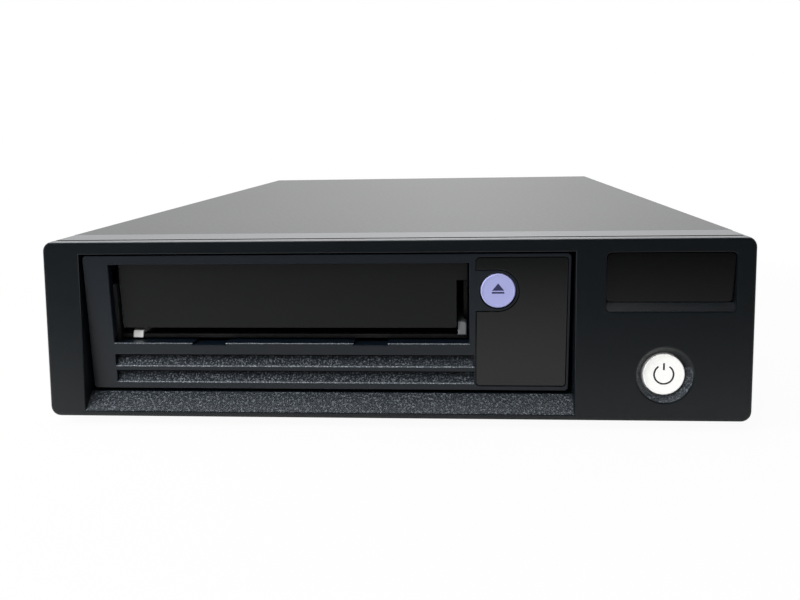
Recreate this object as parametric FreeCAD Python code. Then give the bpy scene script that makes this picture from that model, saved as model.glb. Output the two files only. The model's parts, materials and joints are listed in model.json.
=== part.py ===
"""Data tape drive: a half-height cartridge drive in a tabletop enclosure.

Everything is modelled with x to the right, y to the back from the foot of the fascia and z up from
the enclosure's underside. export() moves it so that the origin is the middle of the footprint, on
the surface that the feet stand on. All lengths are in millimetres.
"""
import FreeCAD
import Part

import math
import os

V = FreeCAD.Vector

# ---------------------------------------------------------------- enclosure sizes
enclosure_width = 213.0
enclosure_height = 54.0
enclosure_depth = 324.0
foot_height = 3.0
foot_radius = 8.0
foot_inset = 24.0
face_lean = 5.6            # how far the fascia's top edge stands back
fascia_depth = 23.0
fascia_wall = 2.5
fascia_corner = 3.0
fascia_edge = 1.0
sheet = 1.0
cover_inset = 1.0          # cover side behind the fascia's side
seam = 0.2                 # gap between neighbouring shells
rear_recess = 1.0          # rear panel inside the cover's rear edge
screw_head_height = 2.0
screw_head_radius = 2.8
screw_radius = 1.4

# ---------------------------------------------------------------- drive bezel sizes
fascia_left = 11.4         # fascia's left end to the drive's opening
bezel_least_width = 148.3  # a wider slot makes the bezel wider
bezel_height = 42.2
bezel_bottom = 7.4
bezel_front = 5.9
bezel_depth = 6.4
bezel_wall = 2.5
bezel_corner = 1.2
gap_left = 0.75
gap_right = 1.15
gap_top = 0.45
gap_ledge = 1.0
ledge_front = 1.8          # the recess's sloping ledge starts this high on the face
collar_wall = 2.0

slot_from_left = 7.95
slot_from_right = 29.95
slot_width = 110.4
slot_rise = 14.7           # slot's lower edge above the bezel's lower edge
slot_height = 24.6
notch_width = 10.4
notch_spacing = 50.3
notch_depth = 0.6
groove_height = 3.8
groove_depth = 2.4
groove_rises = (2.0, 7.2)
groove_overrun = 1.5

window_width = 27.1
window_height = 39.75
window_margin = 0.8        # from the bezel's right and upper edges
window_thickness = 1.5
window_corner = 1.0
eject_radius = 5.15
eject_travel = 0.8
eject_from_right = 21.35
eject_rise = 31.0
island_radius = 6.2

# ---------------------------------------------------------------- badge and power button
badge_width_share = 0.72   # of the bay right of the drive
badge_height = 14.95
badge_right_share = 0.107
badge_top_gap = 4.25
badge_depth = 0.8
badge_ledge = 2.4
badge_corner = 1.5
power_right_share = 0.4912
switch_board_share = 0.311 # half the switch board's width
power_rise = 13.8
power_cone_radius = 8.4
power_bore_radius = 6.4
power_button_radius = 6.1
power_recess = 1.35
power_travel = 1.2

# ---------------------------------------------------------------- drive body and loader
body_inset = 1.15
body_rise = 0.6
body_height = 39.6
body_length = 200.0
cast_wall = 2.0
cast_floor = 1.6
lid_sheet = 1.0
door_thickness = 1.5
door_setback = 2.95        # front of the door behind the bezel's face
door_gap_left = 2.0
door_gap_right = 3.6
door_rise = 4.1            # door's lower edge above the slot's lower edge
door_pin_radius = 0.6
door_barrel_radius = 0.9
cartridge_width = 102.0
cartridge_length = 105.4
tray_sheet = 1.2
tray_rise = 0.5
tray_front_gap = 5.1
tray_wall_height = 17.4
tray_corner = 13.0         # how far the right side stops short, for the threader arm
corner_relief = 3.0        # between the tray's left side and its back stop
loader_travel = 16.0
loader_drop = 6.0
loader_pin_radius = 1.4
loader_pin_rise = 11.9
loader_pin_pitch = 55.0
loader_plate_sheet = 1.2
gear_module = 0.8
sync_teeth = 10
small_teeth = 12
large_teeth = 30
motor_teeth = 10
sync_radius = 1.2
running_gap = 0.4
bore_gap = 0.05

# ---------------------------------------------------------------- tape path
reel_radius = 39.0
reel_hub_radius = 18.0
reel_wall = 1.2
reel_to_chuck = 95.7
reel_side_offset = 12.8
tape_low = 20.0
tape_high = 33.4
spindle_radius = 2.0
chuck_radius = 16.0
chuck_teeth = 18
motor_height = 5.0
motor_radius = 20.0
roller_radius = 4.5
roller_flange_radius = 6.0
roller_pin_radius = 1.5
roller_angles = (-58.0, -28.0, 28.0, 62.0)
roller_inset = 8.0
head_travel = 2.5
arm_bow = 24.0             # how far the arm's pivot lies off the line from leader pin to hub
arm_sheet = 2.0
arm_level = 37.0
threader_teeth = 30
threader_motor_teeth = 12
threader_motor_angle = -100.0

# ---------------------------------------------------------------- rear end and power supply
fan_size = 40.0
fan_depth = 20.0
fan_offset = 30.0
fan_level = 27.0
fan_bore = 18.8
fan_blades = 7
vent_rows = 7
vent_pitch = 8.0
vent_slot = 3.0
grille_pitch = 5.0
grille_slot = 3.0
blade_pitch = 38.0
inlet_from_right = 23.5
inlet_level = 27.0
inlet_width = 27.2
inlet_height = 20.0
inlet_flange = 3.0
inlet_rim = 2.0
inlet_mouth_depth = 14.0
ports_from_left = (32.5, 62.5)
interface_share = 0.547    # of the room behind the drive
port_width = 22.0
port_height = 9.6
port_wall = 1.0
port_depth = 24.0
supply_reach = 96.3        # how far the supply stands beside the drive
supply_gap = 4.1
rail_foot_left = 7.0
rail_foot_right = 6.0
board_thickness = 1.6
standoff = 6.0

# ---------------------------------------------------------------- places worked out from the sizes
lean_angle = math.atan2(face_lean, enclosure_height)
half_width = enclosure_width / 2
cover_half = half_width - cover_inset
chassis_half = cover_half - sheet - seam / 2
rear_panel = enclosure_depth - rear_recess
rear_proud = max(inlet_flange, screw_head_height + sheet) - rear_recess
front_most = fascia_edge * math.sin(lean_angle)
row_shift = (0, -(front_most + enclosure_depth + rear_proud) / 2, foot_height)

bezel_left = -half_width + fascia_left + gap_left
bezel_right = bezel_left + max(bezel_least_width, slot_from_left + slot_width + slot_from_right)
drive_centre = (bezel_left + bezel_right) / 2
bezel_top = bezel_bottom + bezel_height
bezel_back = bezel_front + bezel_depth
wall_back = bezel_front + bezel_wall
open_left = bezel_left - gap_left
open_right = bezel_right + gap_right
open_top = bezel_top + gap_top
ledge_back = bezel_bottom - gap_ledge

slot_centre = bezel_left + slot_from_left + slot_width / 2
slot_half = slot_width / 2
slot_low = bezel_bottom + slot_rise
slot_high = slot_low + slot_height

window_right = bezel_right - window_margin
window_left = window_right - window_width
window_high = bezel_top - window_margin - 0.25
window_low = window_high - window_height
eject_x = bezel_right - eject_from_right
eject_z = bezel_bottom + eject_rise

bay_width = half_width - open_right
badge_right = half_width - badge_right_share * bay_width
badge_left = badge_right - badge_width_share * bay_width
badge_high = enclosure_height - badge_top_gap
badge_low = badge_high - badge_height
power_x = half_width - power_right_share * bay_width
switch_board_half = switch_board_share * bay_width

body_left = bezel_left + body_inset
body_right = bezel_right - body_inset
body_low = bezel_bottom + body_rise
body_high = body_low + body_height
body_back = bezel_back + body_length
floor_top = body_low + cast_floor

tray_half = slot_half - 0.4
plate_half = tray_half + 0.6
slider_half = plate_half + loader_plate_sheet + running_gap
pin_reach = slider_half + loader_plate_sheet + 0.2
tray_low = slot_low + tray_rise
tray_front = bezel_front + tray_front_gap
tray_stop = tray_front + 96.0
pin_z = slot_low + loader_pin_rise
pin_front = tray_front + 19.0
loader_front = bezel_back + 2.5

pitch = math.pi * gear_module
sync_y = loader_front + loader_travel + 2.2
chuck_y = tray_stop + loader_travel - cartridge_length / 2
reel_x = slot_centre - reel_side_offset
reel_y = chuck_y + reel_to_chuck


def pitch_radius(teeth):
    return gear_module * teeth / 2


def tip_radius(teeth):
    return pitch_radius(teeth) + 0.8 * gear_module


sync_z = floor_top + running_gap + tip_radius(sync_teeth)
rack_line = sync_z + pitch_radius(sync_teeth)
board_front = bezel_back + 0.3
fan_front = rear_panel - sheet - fan_depth
inlet_offset = half_width - inlet_from_right
port_offsets = [place - half_width for place in ports_from_left]
rear_room = rear_panel - sheet - body_back
interface_length = interface_share * rear_room


# ---------------------------------------------------------------- shape helpers
def box(x, y, z):
    """A box from three (low, high) pairs."""
    corner = V(x[0], y[0], z[0])
    return Part.makeBox(x[1] - x[0], y[1] - y[0], z[1] - z[0], corner)


def rod(radius, start, end):
    """A round bar between two points."""
    axis = V(*end) - V(*start)
    return Part.makeCylinder(radius, axis.Length, V(*start), axis)


def faceted(radius, start, end, sides=12):
    """A round bar along x, y or z, drawn with flat sides."""
    axis = V(*end) - V(*start)
    across = V(axis.y, axis.z, axis.x)
    across.normalize()
    across = across * radius
    corners = []
    for index in range(sides):
        turn = FreeCAD.Rotation(axis, index * 360.0 / sides)
        corners.append(V(*start) + turn.multVec(across))
    return Part.Face(Part.makePolygon(corners + corners[:1])).extrude(axis)


def prism_x(points, x):
    """An outline of (y, z) points, drawn out along x between a (low, high) pair."""
    corners = [V(x[0], y, z) for y, z in points]
    face = Part.Face(Part.makePolygon(corners + corners[:1]))
    return face.extrude(V(x[1] - x[0], 0, 0))


def prism_z(points, z):
    """An outline of (x, y) points, drawn out along z."""
    corners = [V(x, y, z[0]) for x, y in points]
    face = Part.Face(Part.makePolygon(corners + corners[:1]))
    return face.extrude(V(0, 0, z[1] - z[0]))


def round_edges(shape, radius, direction):
    """Rounds every straight edge of a box that runs along one axis."""
    edges = []
    for edge in shape.Edges:
        along = edge.tangentAt(edge.FirstParameter)
        if abs(along.dot(direction)) > 0.99:
            edges.append(edge)
    return shape.makeFillet(radius, edges)


def panel(x, y, z, radius):
    """A plate that faces the front, with its four corners rounded."""
    return round_edges(box(x, y, z), radius, V(0, 1, 0))


def slot_hole(start, end, radius, x):
    """An oblong through x: the room that a pin needs as it moves from start to end in (y, z)."""
    first = faceted(radius, (x[0], *start), (x[1], *start))
    last = faceted(radius, (x[0], *end), (x[1], *end))
    run = V(0, end[0] - start[0], end[1] - start[1])
    side = V(0, -run.z, run.y)
    side.normalize()
    side = side * radius
    corners = []
    for base, sign in ((start, 1), (end, 1), (end, -1), (start, -1)):
        corners.append((base[0] + sign * side.y, base[1] + sign * side.z))
    return first.fuse([last, prism_x(corners, x)]).removeSplitter()


def gear_outline(centre, teeth, phase):
    """Points of a spur gear; phase is the angle in radians at which one tooth stands."""
    tip = tip_radius(teeth)
    root = pitch_radius(teeth) - gear_module
    step = 2 * math.pi / teeth
    points = []
    for index in range(teeth):
        middle = phase + index * step
        for radius, share in ((root, -0.30), (tip, -0.10), (tip, 0.10), (root, 0.30)):
            angle = middle + share * step
            points.append((centre[0] + radius * math.cos(angle), centre[1] + radius * math.sin(angle)))
    return points


def meshed_phase(phase, teeth, other_teeth, direction):
    """The phase of a gear that meshes with one at the given phase, in the given direction from it."""
    step = 2 * math.pi / teeth
    offset = (direction - phase) % step
    return direction + math.pi + offset * teeth / other_teeth + math.pi / other_teeth


def polar(centre, radius, degrees):
    angle = math.radians(degrees)
    return (centre[0] + radius * math.cos(angle), centre[1] + radius * math.sin(angle))


def strip_outline(points, thickness, place):
    """A flat cable seen on edge: straight runs joined by concentric arcs, as one face."""
    sides = []
    for offset in (-thickness / 2, thickness / 2):
        sides.append(offset_run(points, offset, place))
    caps = [Part.LineSegment(sides[0][1], sides[1][1]).toShape(),
            Part.LineSegment(sides[0][2], sides[1][2]).toShape()]
    edges = Part.__sortEdges__(sides[0][0] + sides[1][0] + caps)
    return Part.Face(Part.Wire(edges))


def offset_run(points, offset, place):
    """One side of a flat cable: its edges, its first point and its last."""
    runs = [(b[0] - a[0], b[1] - a[1]) for a, b in zip(points, points[1:])]
    lengths = [math.hypot(*run) for run in runs]
    headings = [math.atan2(run[1], run[0]) for run in runs]
    edges = []
    normal = headings[0] + math.pi / 2
    first = place(points[0][0] + offset * math.cos(normal), points[0][1] + offset * math.sin(normal))
    last = first
    for index, corner in enumerate(points[1:-1]):
        turn = headings[index + 1] - headings[index]
        cut = 0.45 * min(lengths[index], lengths[index + 1])
        radius = cut / math.tan(abs(turn) / 2)
        inner = 1 if turn > 0 else -1
        normal = headings[index] + math.pi / 2
        centre = (corner[0] - cut * math.cos(headings[index]) + inner * radius * math.cos(normal),
                  corner[1] - cut * math.sin(headings[index]) + inner * radius * math.sin(normal))
        reach = radius - inner * offset
        stops = []
        for share in (0.0, 0.5, 1.0):
            angle = normal + share * turn + (math.pi if inner > 0 else 0.0)
            stops.append(place(centre[0] + reach * math.cos(angle), centre[1] + reach * math.sin(angle)))
        edges.append(Part.LineSegment(last, stops[0]).toShape())
        edges.append(Part.Arc(*stops).toShape())
        last = stops[2]
    normal = headings[-1] + math.pi / 2
    end = place(points[-1][0] + offset * math.cos(normal), points[-1][1] + offset * math.sin(normal))
    edges.append(Part.LineSegment(last, end).toShape())
    return edges, first, end


def on_face(shape, x, rise):
    """Moves a shape modelled about the y axis onto the leaning face, square to it."""
    shape.rotate(V(0, 0, 0), V(1, 0, 0), -math.degrees(lean_angle))
    shape.translate(V(x, rise * math.tan(lean_angle), rise))
    return shape


def pan_head_screw(x, y, z, length):
    """A screw whose head stands behind the plane y."""
    head = faceted(screw_head_radius, (x, y, z), (x, y + screw_head_height, z))
    return head.fuse(faceted(screw_radius, (x, y - length, z), (x, y, z)))


def bevel_front(shape, size, level):
    """Bevels the rim that faces the front at a depth."""
    rim = [edge for edge in shape.Edges if all(abs(v.Point.y - level) < 0.01 for v in edge.Vertexes)]
    return shape.makeChamfer(size, rim)


# ---------------------------------------------------------------- fascia
def face_y(z):
    """Where the leaning face lies at a height."""
    return z * math.tan(lean_angle)


def make_front_bezel():
    wall_y = fascia_wall / math.cos(lean_angle)
    blank = box((-half_width, half_width), (0, fascia_depth), (0, enclosure_height))
    blank = round_edges(blank, fascia_corner, V(0, 1, 0))
    front_waste = [(-5, -5), (face_y(-5), -5), (face_y(enclosure_height + 5), enclosure_height + 5),
                   (-5, enclosure_height + 5)]
    shell = blank.cut(prism_x(front_waste, (-half_width - 1, half_width + 1)))
    front_edges = []
    for edge in shell.Edges:
        middle = edge.CenterOfMass
        ends_on_face = [abs(v.Point.y - face_y(v.Point.z)) < 0.01 for v in edge.Vertexes]
        if all(ends_on_face) and abs(middle.y - face_y(middle.z)) < 0.05:
            front_edges.append(edge)
    shell = shell.makeChamfer(fascia_edge, front_edges)
    low = fascia_wall
    high = enclosure_height - fascia_wall
    inside = [(face_y(low) + wall_y, low), (fascia_depth + 1, low),
              (fascia_depth + 1, high), (face_y(high) + wall_y, high)]
    shell = shell.cut(prism_x(inside, (-half_width + fascia_wall, half_width - fascia_wall)))

    collar_back = bezel_back + 3.5
    collar_x = (open_left - collar_wall, open_right + collar_wall)
    under = ledge_back - collar_wall
    collar = [(face_y(ledge_front), 0.5), (face_y(ledge_front), ledge_front),
              (face_y(enclosure_height - 1.5), enclosure_height - 1.5),
              (collar_back, enclosure_height - 1.5), (collar_back, under),
              (bezel_front + 1, under), (bezel_front - 2, 0.5)]
    shell = shell.fuse(prism_x(collar, collar_x).common(blank))
    slope = (ledge_back - ledge_front) / (bezel_front - face_y(ledge_front))
    ahead = 6.0
    opening = [(bezel_front, ledge_back), (bezel_front - ahead, ledge_back - ahead * slope),
               (bezel_front - ahead, open_top), (fascia_depth + 1, open_top),
               (fascia_depth + 1, ledge_back)]
    shell = shell.cut(prism_x(opening, (open_left, open_right)))

    floor_y = bezel_front
    backing = box((badge_left - 2, badge_right + 2), (floor_y - 2, floor_y + badge_depth + 2),
                  (badge_low - 1, enclosure_height - 1.5))
    backing = backing.cut(prism_x(front_waste, (badge_left - 3, badge_right + 3)))
    pocket = panel((badge_left, badge_right), (-5, floor_y + badge_depth),
                   (badge_low - badge_ledge, badge_high), badge_corner)
    badge_slope = [(face_y(badge_low - badge_ledge), badge_low - 3 * badge_ledge),
                   (floor_y + badge_depth + 0.1, badge_low - 3 * badge_ledge),
                   (floor_y + badge_depth + 0.1, badge_low), (floor_y, badge_low),
                   (face_y(badge_low - badge_ledge), badge_low - badge_ledge)]
    pocket = pocket.cut(prism_x(badge_slope, (badge_left - 1, badge_right + 1)))
    shell = shell.fuse(backing).cut(pocket)

    sleeve_length = power_recess + 7.5
    sleeve = faceted(power_cone_radius + 0.6, (0, 1.0, 0), (0, sleeve_length, 0), 24)
    for side in (-1, 1):
        x = side * (switch_board_half - 3)
        boss = faceted(2.0, (x, 1.5, switch_boss_rise), (x, switch_board_depth, switch_boss_rise))
        sleeve = sleeve.fuse(boss)
    shell = shell.fuse(on_face(sleeve, power_x, power_rise))
    cone_depth = power_recess + 0.9
    bore = Part.makeCone(power_cone_radius, power_bore_radius, cone_depth, V(0, 0, 0), V(0, 1, 0))
    bore = bore.fuse(rod(power_cone_radius, (0, -2, 0), (0, 0, 0)))
    bore = bore.fuse(faceted(power_bore_radius, (0, cone_depth, 0), (0, sleeve_length + 1, 0), 48))
    shell = shell.cut(on_face(bore, power_x, power_rise))

    tongue_outer = chassis_half - sheet - seam
    for side in (-1, 1):
        for low_z in (10.0, 32.0):
            x = sorted((side * tongue_outer, side * (tongue_outer - 1.8)))
            tongue = box(x, (fascia_depth - 12, fascia_depth + 9), (low_z, low_z + 9))
            foot = box(sorted((side * (tongue_outer - 1.8), side * (half_width - 1))),
                       (fascia_depth - 12, fascia_depth - 9), (low_z, low_z + 9))
            barb = prism_z([(side * tongue_outer, fascia_depth + 5.2),
                            (side * (tongue_outer + sheet), fascia_depth + 5.2),
                            (side * tongue_outer, fascia_depth + 9)], (low_z, low_z + 9))
            shell = shell.fuse([tongue, foot, barb])
    return shell.removeSplitter()


def make_badge_plate():
    gap = 0.15
    return panel((badge_left + gap, badge_right - gap), (bezel_front, bezel_front + badge_depth - 0.02),
                 (badge_low + gap, badge_high - gap), badge_corner)


button_length = 8.5
switch_gap = 0.1
switch_board_depth = power_recess + button_length + 2.0 + power_travel + switch_gap + 6.0
switch_boss_rise = 10.8


def make_power_button():
    front = power_recess
    cap = faceted(power_button_radius, (0, front, 0), (0, front + button_length, 0), 48)
    cap = bevel_front(cap, 0.35, front)
    flange_y = power_recess + 7.5 + 0.3
    flange = faceted(power_button_radius + 1.3, (0, flange_y, 0), (0, front + button_length + 0.6, 0), 24)
    stem = faceted(1.6, (0, front + 1.0, 0), (0, front + button_length + 2.0, 0))
    return on_face(cap.fuse([flange, stem]), power_x, power_rise)


def make_power_switch_board():
    front = switch_board_depth - 6.0
    plunger = faceted(1.5, (0, front, 0), (0, front + 2.0, 0))
    switch = box((-3.5, 3.5), (front + 2.0, switch_board_depth), (-3.5, 3.5))
    half = switch_board_half
    board = box((-half, half), (switch_board_depth, switch_board_depth + board_thickness),
                (-7, switch_boss_rise + 3))
    connector = box((0.25 * half, 0.75 * half),
                    (switch_board_depth + board_thickness, switch_board_depth + 7), (-3, 3))
    return on_face(plunger.fuse([switch, board, connector]).removeSplitter(), power_x, power_rise)


# ---------------------------------------------------------------- sheet-metal enclosure
def make_top_cover():
    front = fascia_depth + seam
    outer = box((-cover_half, cover_half), (front, enclosure_depth), (seam, enclosure_height))
    outer = round_edges(outer, 1.5, V(0, 1, 0))
    inner = box((-cover_half + sheet, cover_half - sheet), (front - 1, enclosure_depth + 1),
                (-1, enclosure_height - sheet))
    cover = outer.cut(inner)
    for x in cover_screw_places():
        tab = box((x - 6, x + 6), (rear_panel, rear_panel + sheet),
                  (enclosure_height - 11, enclosure_height - 0.5 * sheet))
        tab = tab.cut(faceted(screw_radius + 0.1, (x, rear_panel - 1, cover_screw_level()),
                              (x, rear_panel + sheet + 1, cover_screw_level())))
        cover = cover.fuse(tab)
    return cover.removeSplitter()


def cover_screw_places():
    return (-cover_half + 14, -8.0, cover_half - 14)


def cover_screw_level():
    return enclosure_height - 7.0


def fan_screw_places():
    reach = fan_size / 2 - 4
    return [(fan_offset + side * reach, fan_level + side * reach) for side in (-1, 1)]


def guard_slots():
    """The fan's grille: upright slots punched across the fan's bore."""
    slots = []
    count = 7
    for index in range(count):
        x = fan_offset + (index - (count - 1) / 2) * grille_pitch
        reach = math.sqrt((fan_bore - 1) ** 2 - (x - fan_offset) ** 2)
        slots.append(box((x - grille_slot / 2, x + grille_slot / 2), (rear_panel - sheet - 1, rear_panel + 1),
                         (fan_level - reach, fan_level + reach)))
    return slots


def make_chassis_base():
    front = fascia_depth + seam
    inner_half = chassis_half - sheet
    wall_high = enclosure_height - sheet - seam
    side_high = wall_high - 8
    floor = box((-chassis_half, chassis_half), (front, rear_panel), (0, sheet))
    parts = []
    for side in (-1, 1):
        x = sorted((side * inner_half, side * chassis_half))
        parts.append(box(x, (front, rear_panel), (0, side_high)))
    parts.append(box((-chassis_half, chassis_half), (rear_panel - sheet, rear_panel), (0, wall_high)))
    parts.append(box((-chassis_half + 6, chassis_half - 6), (front, front + sheet), (0, ledge_back - 2.2)))
    pan = floor.fuse(parts)

    cuts = []
    for side in (-1, 1):
        for low_z in (10.0, 32.0):
            x = sorted((side * (inner_half - 1), side * (chassis_half + 1)))
            cuts.append(box(x, (fascia_depth + 5, fascia_depth + 10), (low_z - 0.5, low_z + 9.5)))
    for index in range(vent_rows):
        y = body_back + 14 + index * vent_pitch
        cuts.append(box((-cover_half + 14, drive_centre - 20), (y, y + vent_slot), (-1, sheet + 1)))
    hole = (rear_panel - sheet - 1, rear_panel + 1)
    margin = 0.15
    cuts.append(box((inlet_offset - inlet_width / 2 - margin, inlet_offset + inlet_width / 2 + margin),
                    hole, (inlet_level - inlet_height / 2 - margin, inlet_level + inlet_height / 2 + margin)))
    for x in port_offsets:
        cuts.append(box((x - port_width / 2 - margin, x + port_width / 2 + margin), hole,
                        (port_low - margin, port_low + port_height + margin)))
    for x, z in fan_screw_places():
        cuts.append(faceted(screw_radius + 0.1, (x, hole[0], z), (x, hole[1], z)))
    for x in cover_screw_places():
        cuts.append(faceted(screw_radius + 0.05, (x, hole[0], cover_screw_level()),
                            (x, hole[1], cover_screw_level())))
    return pan.cut(cuts + guard_slots()).removeSplitter()


interface_level = 10.0
port_low = interface_level + board_thickness


def make_rubber_feet():
    feet = []
    for x in (-half_width + foot_inset, half_width - foot_inset):
        for y in (fascia_depth + foot_inset, enclosure_depth - foot_inset):
            feet.append(faceted(foot_radius, (x, y, -foot_height), (x, y, 0), 24))
    return Part.makeCompound(feet)


def make_rear_screws():
    screws = []
    for x in cover_screw_places():
        screws.append(pan_head_screw(x, rear_panel + sheet, cover_screw_level(), 5.0))
    for x, z in fan_screw_places():
        screws.append(pan_head_screw(x, rear_panel, z, 7.0))
    return Part.makeCompound(screws)


# ---------------------------------------------------------------- rear end
def make_fan_frame():
    y = (fan_front, rear_panel - sheet)
    half = fan_size / 2
    frame = box((fan_offset - half, fan_offset + half), y, (fan_level - half, fan_level + half))
    bore = faceted(fan_bore, (fan_offset, y[0] - 1, fan_level), (fan_offset, y[1] + 1, fan_level), 36)
    frame = frame.cut(bore)
    for x, z in fan_screw_places():
        frame = frame.cut(faceted(screw_radius + 0.05, (x, y[0] - 1, z), (x, y[1] + 1, z)))
    hub = faceted(9.0, (fan_offset, y[1] - 3, fan_level), (fan_offset, y[1], fan_level), 24)
    shaft = faceted(1.5, (fan_offset, y[0] + 4, fan_level), (fan_offset, y[1] - 2, fan_level))
    frame = frame.fuse([hub, shaft])
    for turn in (0.0, 90.0, 180.0, 270.0):
        strut = box((fan_offset + 8, fan_offset + fan_bore + 0.5), (y[1] - 3, y[1] - 0.5),
                    (fan_level - 1, fan_level + 1))
        strut.rotate(V(fan_offset, 0, fan_level), V(0, 1, 0), turn)
        frame = frame.fuse(strut)
    return frame.removeSplitter()


def make_fan_impeller():
    y = (fan_front + 1.0, rear_panel - sheet - 3.6)
    hub = faceted(9.0, (fan_offset, y[0], fan_level), (fan_offset, y[1], fan_level), 24)
    hub = hub.cut(rod(1.5 + bore_gap, (fan_offset, y[0] + 2, fan_level), (fan_offset, y[1] + 1, fan_level)))
    middle = (y[0] + y[1]) / 2
    reach = (y[1] - y[0]) / 2 - 1.0
    blades = []
    for index in range(fan_blades):
        blade = box((fan_offset + 6, fan_offset + fan_bore - 1.4), (middle - reach, middle + reach),
                    (fan_level - 0.6, fan_level + 0.6))
        blade.rotate(V(fan_offset, middle, fan_level), V(1, 0, 0), blade_pitch)
        blade.rotate(V(fan_offset, middle, fan_level), V(0, 1, 0), index * 360.0 / fan_blades)
        blades.append(blade)
    return hub.fuse(blades)


def make_mains_inlet():
    x = (inlet_offset - inlet_width / 2, inlet_offset + inlet_width / 2)
    z = (inlet_level - inlet_height / 2, inlet_level + inlet_height / 2)
    back = rear_panel - sheet - 12
    outer = rear_panel + inlet_flange
    body = box(x, (back, outer - 0.5), z)
    flange = panel((x[0] - inlet_rim, x[1] + inlet_rim), (rear_panel, outer),
                   (z[0] - inlet_rim, z[1] + inlet_rim), 1.5)
    body = body.fuse(flange)
    mouth_half = 12.1
    mouth_high = 8.2
    chamfer = 4.5
    outline = [(-mouth_half, -mouth_high), (mouth_half, -mouth_high), (mouth_half, mouth_high - chamfer),
               (mouth_half - chamfer, mouth_high), (chamfer - mouth_half, mouth_high),
               (-mouth_half, mouth_high - chamfer)]
    corners = [V(inlet_offset + u, outer + 1, inlet_level + v) for u, v in outline]
    mouth = Part.Face(Part.makePolygon(corners + corners[:1])).extrude(V(0, -inlet_mouth_depth - 1, 0))
    body = body.cut(mouth)
    for u, v in inlet_pin_places():
        body = body.cut(box((u - 1.05, u + 1.05), (back - 1, outer), (v - 2.05, v + 2.05)))
    return body


def inlet_pin_places():
    return [(inlet_offset - 7, inlet_level - 1.5), (inlet_offset + 7, inlet_level - 1.5),
            (inlet_offset, inlet_level + 2.5)]


def make_inlet_pins():
    pins = []
    back = rear_panel - sheet - 15
    for u, v in inlet_pin_places():
        blade = box((u - 1, u + 1), (back, rear_panel - 1), (v - 2, v + 2))
        tail = box((u - 0.6, u + 0.6), (back, back + 1.5), (supply_board_top, v + 1))
        pins.append(blade.fuse(tail))
    return Part.makeCompound(pins)


def make_sas_ports():
    ports = []
    for x in port_offsets:
        y = (rear_panel + 0.8 - port_depth, rear_panel + 0.8)
        cage = box((x - port_width / 2, x + port_width / 2), y, (port_low, port_low + port_height))
        mouth = box((x - port_width / 2 + port_wall, x + port_width / 2 - port_wall),
                    (y[1] - 15, y[1] + 1), (port_low + port_wall, port_low + port_height - port_wall))
        tongue = box((x - 7, x + 7), (y[1] - 15, y[1] - 5),
                     (port_low + port_wall, port_low + port_wall + 1.6))
        ports.append(cage.cut(mouth).fuse(tongue))
    return Part.makeCompound(ports)


interface_front = rear_panel - sheet - interface_length


def make_interface_board():
    y = (interface_front, rear_panel - sheet - 0.5)
    x = (min(port_offsets) - 18, max(port_offsets) + 24)
    board = box(x, y, (interface_level, interface_level + board_thickness))
    for u in (x[0] + 5, x[1] - 5):
        for v in (y[0] + 5, y[1] - 8):
            board = board.fuse(faceted(3.0, (u, v, sheet), (u, v, interface_level)))
    room = interface_length - port_depth
    chip = box((min(port_offsets) - 8, min(port_offsets) + 8), (y[0] + 0.39 * room, y[0] + 0.83 * room),
               (port_low, port_low + 2.2))
    socket = box((cable_x - 8, cable_x + 8), (y[0] + 2, y[0] + 9), (port_low, port_low + 8))
    return board.fuse([chip, socket]).removeSplitter()


# ---------------------------------------------------------------- power supply
supply_right = chassis_half - sheet - 1.5
supply_left = body_right + rail_foot_right + supply_gap
supply_width = supply_right - supply_left
supply_back = rear_panel - sheet - 1.0
supply_front = body_back - supply_reach
supply_board_low = 2 * sheet + standoff
supply_board_top = supply_board_low + board_thickness


transformer_front = body_back - 36.3


def make_psu_frame():
    frame = box((supply_left, supply_right), (supply_front, supply_back), (sheet, 2 * sheet))
    wall = box((supply_right - sheet, supply_right), (supply_front, supply_back - 30), (sheet, 30))
    vents = []
    step = (supply_back - supply_front) / 16
    for index in range(1, 13):
        y = supply_front + index * step
        vents.append(box((supply_right - sheet - 1, supply_right + 1), (y, y + 5), (12, 25)))
    frame = frame.fuse(wall.cut(vents))
    for x in (supply_left + 4, supply_right - 6):
        for y in (supply_front + 5, supply_back - 36):
            frame = frame.fuse(faceted(2.5, (x, y, 2 * sheet), (x, y, supply_board_low)))
    return frame.removeSplitter()


def make_psu_board():
    return box((supply_left + 0.5, supply_right - sheet - 0.5), (supply_front, supply_back),
               (supply_board_low, supply_board_top))


def make_psu_transformer():
    x = supply_left + 0.13 * supply_width
    wide = 0.72 * supply_width
    y = transformer_front
    top = supply_board_top
    winding = box((x + 0.1 * wide, x + 0.9 * wide), (y + 3, y + 27), (top, top + 22))
    winding = round_edges(winding, 0.1 * wide, V(0, 0, 1))
    core = box((x, x + wide), (y + 8, y + 22), (top + 2, top + 24))
    base = box((x, x + wide), (y, y + 30), (top, top + 3))
    return winding.fuse([core, base]).removeSplitter()


def make_psu_capacitors():
    top = supply_board_top
    x = supply_left + supply_width / 3
    small = (0.15 * supply_width, 22.0)
    cans = []
    for (radius, height), y in (((0.23 * supply_width, 30.0), body_back + 29),
                                (small, transformer_front - 18), (small, transformer_front - 34)):
        cans.append(faceted(radius, (x, y, top), (x, y, top + height), 24))
    return Part.makeCompound(cans)


# ---------------------------------------------------------------- drive bezel and front panel
def window_outline(y, gap):
    """The lens's outline: a rounded panel less the island round the eject button."""
    lens = panel((window_left + gap, window_right - gap), y, (window_low + gap, window_high - gap),
                 window_corner)
    radius = island_radius + gap
    island = faceted(radius, (eject_x, y[0] - 1, eject_z), (eject_x, y[1] + 1, eject_z), 48)
    island = island.fuse(box((window_left - 1, eject_x), (y[0] - 1, y[1] + 1),
                             (eject_z - radius, eject_z + radius)))
    return lens.cut(island)


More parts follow.
